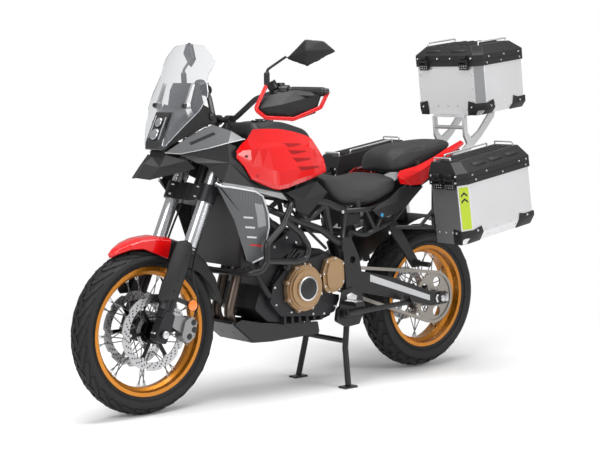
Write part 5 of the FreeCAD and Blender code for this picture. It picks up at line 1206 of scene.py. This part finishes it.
# Cases
def folded_case(name, place, collar, ahead):
    """A case in bare metal with its black faces, and a grey painted reflection on faces turned forwards."""
    body = dressed(name, CASE_ALU, rim=1.6)
    # Forward faces and front bevels painted darker grey: a painted reflection on the bare metal.
    if name == "top_case":
        recolour(body, CASE_DARK_REFLECTION, lambda x, y, z, out: 0.4 < out.x < 0.9 and abs(out.y) > 0.4, place)
    else:
        recolour(body, CASE_DARK_REFLECTION, lambda x, y, z, out: out.x > 0.9, place)
    recolour(body, LID_BLACK, lambda x, y, z, out: z > collar or x > ahead + 0.6, place)


folded_case("left_case", PANNIER, 255.5, 215.5)
folded_case("top_case", TOP_CASE, 218.5, 145.5)
folded_case("right_case", PANNIER, 255.5, 215.5)
for name in ("left_lid", "right_lid", "top_lid"):
    dressed(name, LID_BLACK, rim=2.5)


def shell(mesh, rows, thickness, place):
    """A sheet through rows of points given in mm in a place, thickened inwards."""
    lines = [[mesh.verts.new(place @ mm(*spot)) for spot in row] for row in rows]
    made = []
    for low, high in zip(lines, lines[1:]):
        for index in range(len(low) - 1):
            made.append(mesh.faces.new((low[index], low[index + 1], high[index + 1], high[index])))
    bmesh.ops.recalc_face_normals(mesh, faces=made)
    bmesh.ops.solidify(mesh, geom=made, thickness=thickness / 1000)


RIVET_HEIGHT = 0.4


def rivet(mesh, where, out, place, reach=5.0):
    """A low domed rivet head."""
    dome = bmesh.ops.create_uvsphere(mesh, u_segments=14, v_segments=8, radius=reach / 1000)["verts"]
    bmesh.ops.scale(mesh, vec=(1, 1, RIVET_HEIGHT), verts=dome)
    seat = place @ basis(Vector(where) / 1000, Vector(out).orthogonal(), out)
    bmesh.ops.transform(mesh, matrix=seat, verts=dome)


def rivets(name, places, place, node):
    """Rivet heads at (point, direction) pairs, as one piece."""
    mesh = bmesh.new()
    for where, out in places:
        rivet(mesh, where, out, place)
    closed(name, mesh, BOLT_STEEL, node, 70)


RAIL_RADIUS = 3.6


def rail(name, begin, end, rise, node, place):
    """A silver wire grip that stands on a lid between two points given in mm."""
    begin, end = Vector(begin), Vector(end)
    along = (end - begin).normalized()
    up = Vector((0, 0, rise))
    spots = [begin - Vector((0, 0, 4)), begin + up * 0.6, begin + up, begin + up + along * 10,
             end + up - along * 10, end + up, end + up * 0.6, end - Vector((0, 0, 4))]
    strip(name, spots, RAIL_RADIUS, RACK_SILVER, node, place, sides=4)


def corner_guard(name, rows, screws, node, place):
    """A black protector round a lower corner, with its two screws."""
    mesh = bmesh.new()
    shell(mesh, rows, 4, place)
    soften(mesh, 0.0012, 40)
    piece(name, mesh, LID_BLACK, node, 40)
    bolts(name + "_screws", screws, BOLT_STEEL, node, 5, 3, place)


def pannier_details(side, flip):
    """Stripe, rivets, corner guards and screws on one side case, and what its lid carries."""
    place = flip @ PANNIER
    case, lid = side + "_case", side + "_lid"
    slant = basis(mm(193, 457, 0), (-44, 26, 0), (0.509, 0.861, 0))
    mesh = bmesh.new()
    prism(mesh, [(-21, 64), (21, 64), (21, 246), (-21, 246)], 0.2, 1.2, place @ slant)
    closed(side + "_lime_stripe", mesh, LIME, case)
    mesh = bmesh.new()
    for index in range(2):
        low = 178 + 26 * index
        prism(mesh, [(-14, low), (0, low + 13), (14, low), (14, low + 9), (0, low + 22), (-14, low + 9)],
              1.1, 1.9, place @ slant)
    closed(side + "_stripe_chevrons", mesh, BLACK_AND_PAINTED_SHADE, case)
    rivets(side + "_case_rivets", [((x, 470, 48), LEFT) for x in (-150, -62, 26, 98)]
           + [((215, y, 48), AHEAD) for y in (312, 350, 388)]
           + [((x, 458, 20), (0, 0.835, -0.55)) for x in (-106, -18, 70)], place, case)
    corner_guard(side + "_front_guard",
                 [[(219, 400, 66), (219, 446, 58), (172, 474, 58), (120, 474, 66)],
                  [(219, 396, 38), (219, 446, 38), (172, 474, 38), (112, 474, 38)],
                  [(219, 396, 10), (219, 440, 10), (188, 455, 10), (112, 455, 10)],
                  [(217, 396, -2), (217, 438, -2), (184, 446, -2), (112, 446, -2)]],
                 [((150, 476, 52), LEFT), ((220, 420, 50), AHEAD)], case, place)
    corner_guard(side + "_rear_guard",
                 [[(-219, 400, 66), (-219, 474, 58), (-160, 474, 58), (-128, 474, 66)],
                  [(-219, 396, 38), (-219, 474, 38), (-160, 474, 38), (-120, 474, 38)],
                  [(-219, 396, 10), (-219, 455, 10), (-160, 455, 10), (-120, 455, 10)],
                  [(-217, 396, -2), (-217, 446, -2), (-160, 446, -2), (-120, 446, -2)]],
                 [((-170, 476, 50), LEFT), ((-220, 430, 50), (-1, 0, 0))], case, place)
    bolts(side + "_collar_screws", [((x, 475, 268), LEFT) for x in (-190, -40, 130)]
          + [((220, y, 268), AHEAD) for y in (304, 442)], BOLT_STEEL, case, 4.6, 2.4, place)
    bolts(side + "_rim_screws", [((x, 475, 292), LEFT) for x in (-196, -150, 60, 150)]
          + [((220, y, 296), AHEAD) for y in (303, 444)], BOLT_STEEL, lid, 4.6, 2.4, place)
    rail(side + "_front_rail", (186, 300, 350), (186, 392, 350), 15, lid, place)
    rail(side + "_rear_rail", (-200, 300, 350), (-200, 404, 350), 15, lid, place)
    rail(side + "_inner_rail", (-150, 297, 350), (120, 297, 350), 15, lid, place)
    mesh = bmesh.new()
    for y in (322, 352, 382):
        box(mesh, (-176, y - 7, 348), (136, y + 7, 354), place, 2)
    prism(mesh, [(196, 340), (196, 400), (162, 416), (146, 396)], 348, 356, place, 2)
    slope = place @ basis(mm(0, 449.5, 327.5), AHEAD, (0, 0.66, 0.75))
    for low, high in ((-176, -96), (-70, 10), (36, 116)):
        box(mesh, (low, -10, -1), (high, 10, 3), slope, 1.5)
    box(mesh, (-222, 372, 262), (-214, 404, 318), place, 2)
    cylinder(mesh, (150, 318, 349), (150, 318, 362), 11, place, tip=9, bevel=2)
    closed(side + "_lid_ribs", mesh, LID_BLACK, lid)
    # Near-black strips on the slope's ribs: painted shade for the dark inside of the lid's slots.
    mesh = bmesh.new()
    for low, high in ((-172, -100), (-66, 6), (40, 112)):
        box(mesh, (low + 6, -6, 2.4), (high - 6, 6, 3.4), slope, 0.4)
    closed(side + "_lid_slot_shade", mesh, BLACK_AND_PAINTED_SHADE, lid)
    hinge_covers(side + "_hinge", ((316, 370), (384, 438)), 215, 280, lid, case, place)


def hinge_covers(name, spans, half, seam, lid, case, place):
    """The dotted blocks over the hinges: the upper on the lid, the lower on the case."""
    upper, lower, dots = bmesh.new(), bmesh.new(), bmesh.new()
    for low, high in spans:
        box(upper, (half + 8, low + 10, seam + 9), (half + 21, high - 10, seam + 26), place, 3)
        box(lower, (half + 4, low, seam - 40), (half + 15, high, seam - 12), place, 3)
        for column in range(4):
            y = low + 9 + (high - low - 18) * column / 3
            for z in (seam - 32, seam - 22):
                rivet(dots, (half + 15, y, z), AHEAD, place, 2.8)
    closed(name + "_upper", upper, LID_BLACK, lid)
    closed(name + "_lower", lower, LID_BLACK, case)
    closed(name + "_dots", dots, BOLT_STEEL, case, 70)


def top_case_details():
    """Rivets, corner guards and screws on the top case, and what its lid carries."""
    place = TOP_CASE
    rivets("top_case_rivets", [((145, y, z), AHEAD) for y in (-160, 160) for z in (60, 120, 180)]
           + [((x, side * 205, 44), (0, side, 0)) for side in (1, -1) for x in (-100, -20, 60)]
           + [((145, y, 40), AHEAD) for y in (-60, 0, 60)], place, "top_case")
    for side, flip in ((1, Matrix()), (-1, MIRROR)):
        label = "left" if side > 0 else "right"
        corner = flip @ place
        corner_guard(label + "_top_front_guard",
                     [[(149, 128, 62), (149, 174, 52), (112, 209, 52), (66, 209, 62)],
                      [(149, 122, 25), (149, 174, 25), (112, 209, 25), (58, 209, 25)],
                      [(148, 122, -2), (148, 168, -2), (112, 186, -2), (58, 186, -2)]],
                     [((150, 150, 36), AHEAD), ((88, 211, 36), LEFT)], "top_case", corner)
        corner_guard(label + "_top_rear_guard",
                     [[(-149, 140, 62), (-149, 209, 52), (-100, 209, 52), (-70, 209, 62)],
                      [(-149, 134, 25), (-149, 209, 25), (-100, 209, 25), (-62, 209, 25)],
                      [(-148, 134, -2), (-148, 186, -2), (-100, 186, -2), (-62, 186, -2)]],
                     [((-150, 170, 36), (-1, 0, 0)), ((-108, 211, 36), LEFT)], "top_case", corner)
        rail(label + "_top_rail", (-100, 156, 306), (84, 156, 306), 14, "top_lid", corner)
        bolts(label + "_top_screws", [((x, 210, 256), LEFT) for x in (-120, -20, 80)],
              BOLT_STEEL, "top_lid", 4.6, 2.4, corner)
        bolts(label + "_top_collar_screws", [((x, 210, 231), LEFT) for x in (-125, 0, 95)],
              BOLT_STEEL, "top_case", 4.6, 2.4, corner)
    bolts("top_front_screws", [((150, y, 256), AHEAD) for y in (-165, -40, 40, 165)], BOLT_STEEL,
          "top_lid", 4.6, 2.4, place)
    mesh = bmesh.new()
    for y in (-92, -46, 0, 46, 92):
        box(mesh, (-104, y - 9, 304), (88, y + 9, 310), place, 2)
    slope = place @ basis(mm(130.5, 0, 287), LEFT, (0.75, 0, 0.66))
    for low, high in ((-120, -30), (30, 120)):
        box(mesh, (low, -8, -2), (high, 8, 3), slope, 1.5)
    closed("top_lid_ribs", mesh, LID_BLACK, "top_lid")
    # Near-black strips on the slope's ribs: painted shade for the dark inside of the top lid's slots.
    mesh = bmesh.new()
    for low, high in ((-112, -38), (38, 112)):
        box(mesh, (low, -4.5, 2.4), (high, 4.5, 3.4), slope, 0.4)
    closed("top_lid_slot_shade", mesh, BLACK_AND_PAINTED_SHADE, "top_lid")
    hinge_covers("top_hinge", ((-150, -96), (96, 150)), 145, 243, "top_lid", "top_case", place)


both(pannier_details)
top_case_details()


# Stage, light and camera
FLOOR_FADE = (1.2, 2.6)
AMBIENT = 0.42
WHITE = (1, 1, 1, 1)


def floor():
    """A pale floor that fades into the white ground behind it."""
    mesh = bmesh.new()
    bmesh.ops.create_circle(mesh, cap_ends=True, segments=96, radius=40)
    data = bpy.data.meshes.new("floor")
    mesh.to_mesh(data)
    mesh.free()
    item = placed("floor", data)
    material, tree, shader = new_material("floor_white")
    connect(tree, shader, {"Base Color": (0.88, 0.88, 0.88, 1), "Roughness": 0.55, "Specular IOR Level": 0.2})
    reach = add(tree, "VectorMath", [add(tree, "TexCoord").outputs["Object"]], operation="LENGTH")
    fade = add(tree, "MapRange", {"Value": reach.outputs["Value"], "From Min": FLOOR_FADE[0],
                                  "From Max": FLOOR_FADE[1]}, interpolation_type="SMOOTHSTEP")
    glow = add(tree, "Emission", {"Color": WHITE})
    mix = add(tree, "MixShader", [fade.outputs["Result"], shader.outputs[0], glow.outputs[0]])
    connect(tree, tree.nodes["Material Output"], {"Surface": mix.outputs[0]})
    data.materials.append(material)


def soft_light(name, place, target, size, power):
    """A rectangular softbox that looks at a target."""
    data = bpy.data.lights.new(name, "AREA")
    data.shape = "RECTANGLE"
    data.size, data.size_y = size
    data.energy = power
    item = placed(name, data)
    item.location = place
    item.rotation_euler = (Vector(target) - Vector(place)).to_track_quat("-Z", "Y").to_euler()


def studio():
    """White behind the vehicle, a dimmer fill round it and three softboxes."""
    world = bpy.data.worlds.new("studio")
    world.use_nodes = True
    tree = world.node_tree
    fill = tree.nodes["Background"]
    connect(tree, fill, {"Color": WHITE, "Strength": AMBIENT})
    ground = add(tree, "Background", {"Color": WHITE})
    seen = add(tree, "LightPath").outputs["Is Camera Ray"]
    mix = add(tree, "MixShader", [seen, fill.outputs[0], ground.outputs[0]])
    connect(tree, tree.nodes["World Output"], {"Surface": mix.outputs[0]})
    bpy.context.scene.world = world
    soft_light("top_softbox", (0.2, 0.4, 4.0), (0, 0, 0.4), (4.0, 2.6), 215)
    soft_light("front_softbox", (4.0, 1.6, 2.4), (0.2, 0, 0.7), (2.0, 2.4), 95)
    soft_light("side_softbox", (-1.6, 4.6, 2.4), (-0.4, 0, 0.7), (2.6, 2.0), 118)
    bpy.context.scene.view_settings.view_transform = "Standard"


def camera():
    """The photo's viewpoint."""
    data = bpy.data.cameras.new("camera")
    data.lens = CAMERA_LENS
    data.sensor_width = SENSOR_WIDTH
    item = placed("camera", data)
    turn = (Matrix.Rotation(CAMERA_YAW - math.pi / 2, 4, "Z")
            @ Matrix.Rotation(CAMERA_PITCH + math.pi / 2, 4, "X")
            @ Matrix.Rotation(CAMERA_ROLL, 4, "Z"))
    item.matrix_world = Matrix.Translation(CAMERA_PLACE) @ turn
    bpy.context.scene.camera = item


floor()
studio()
camera()
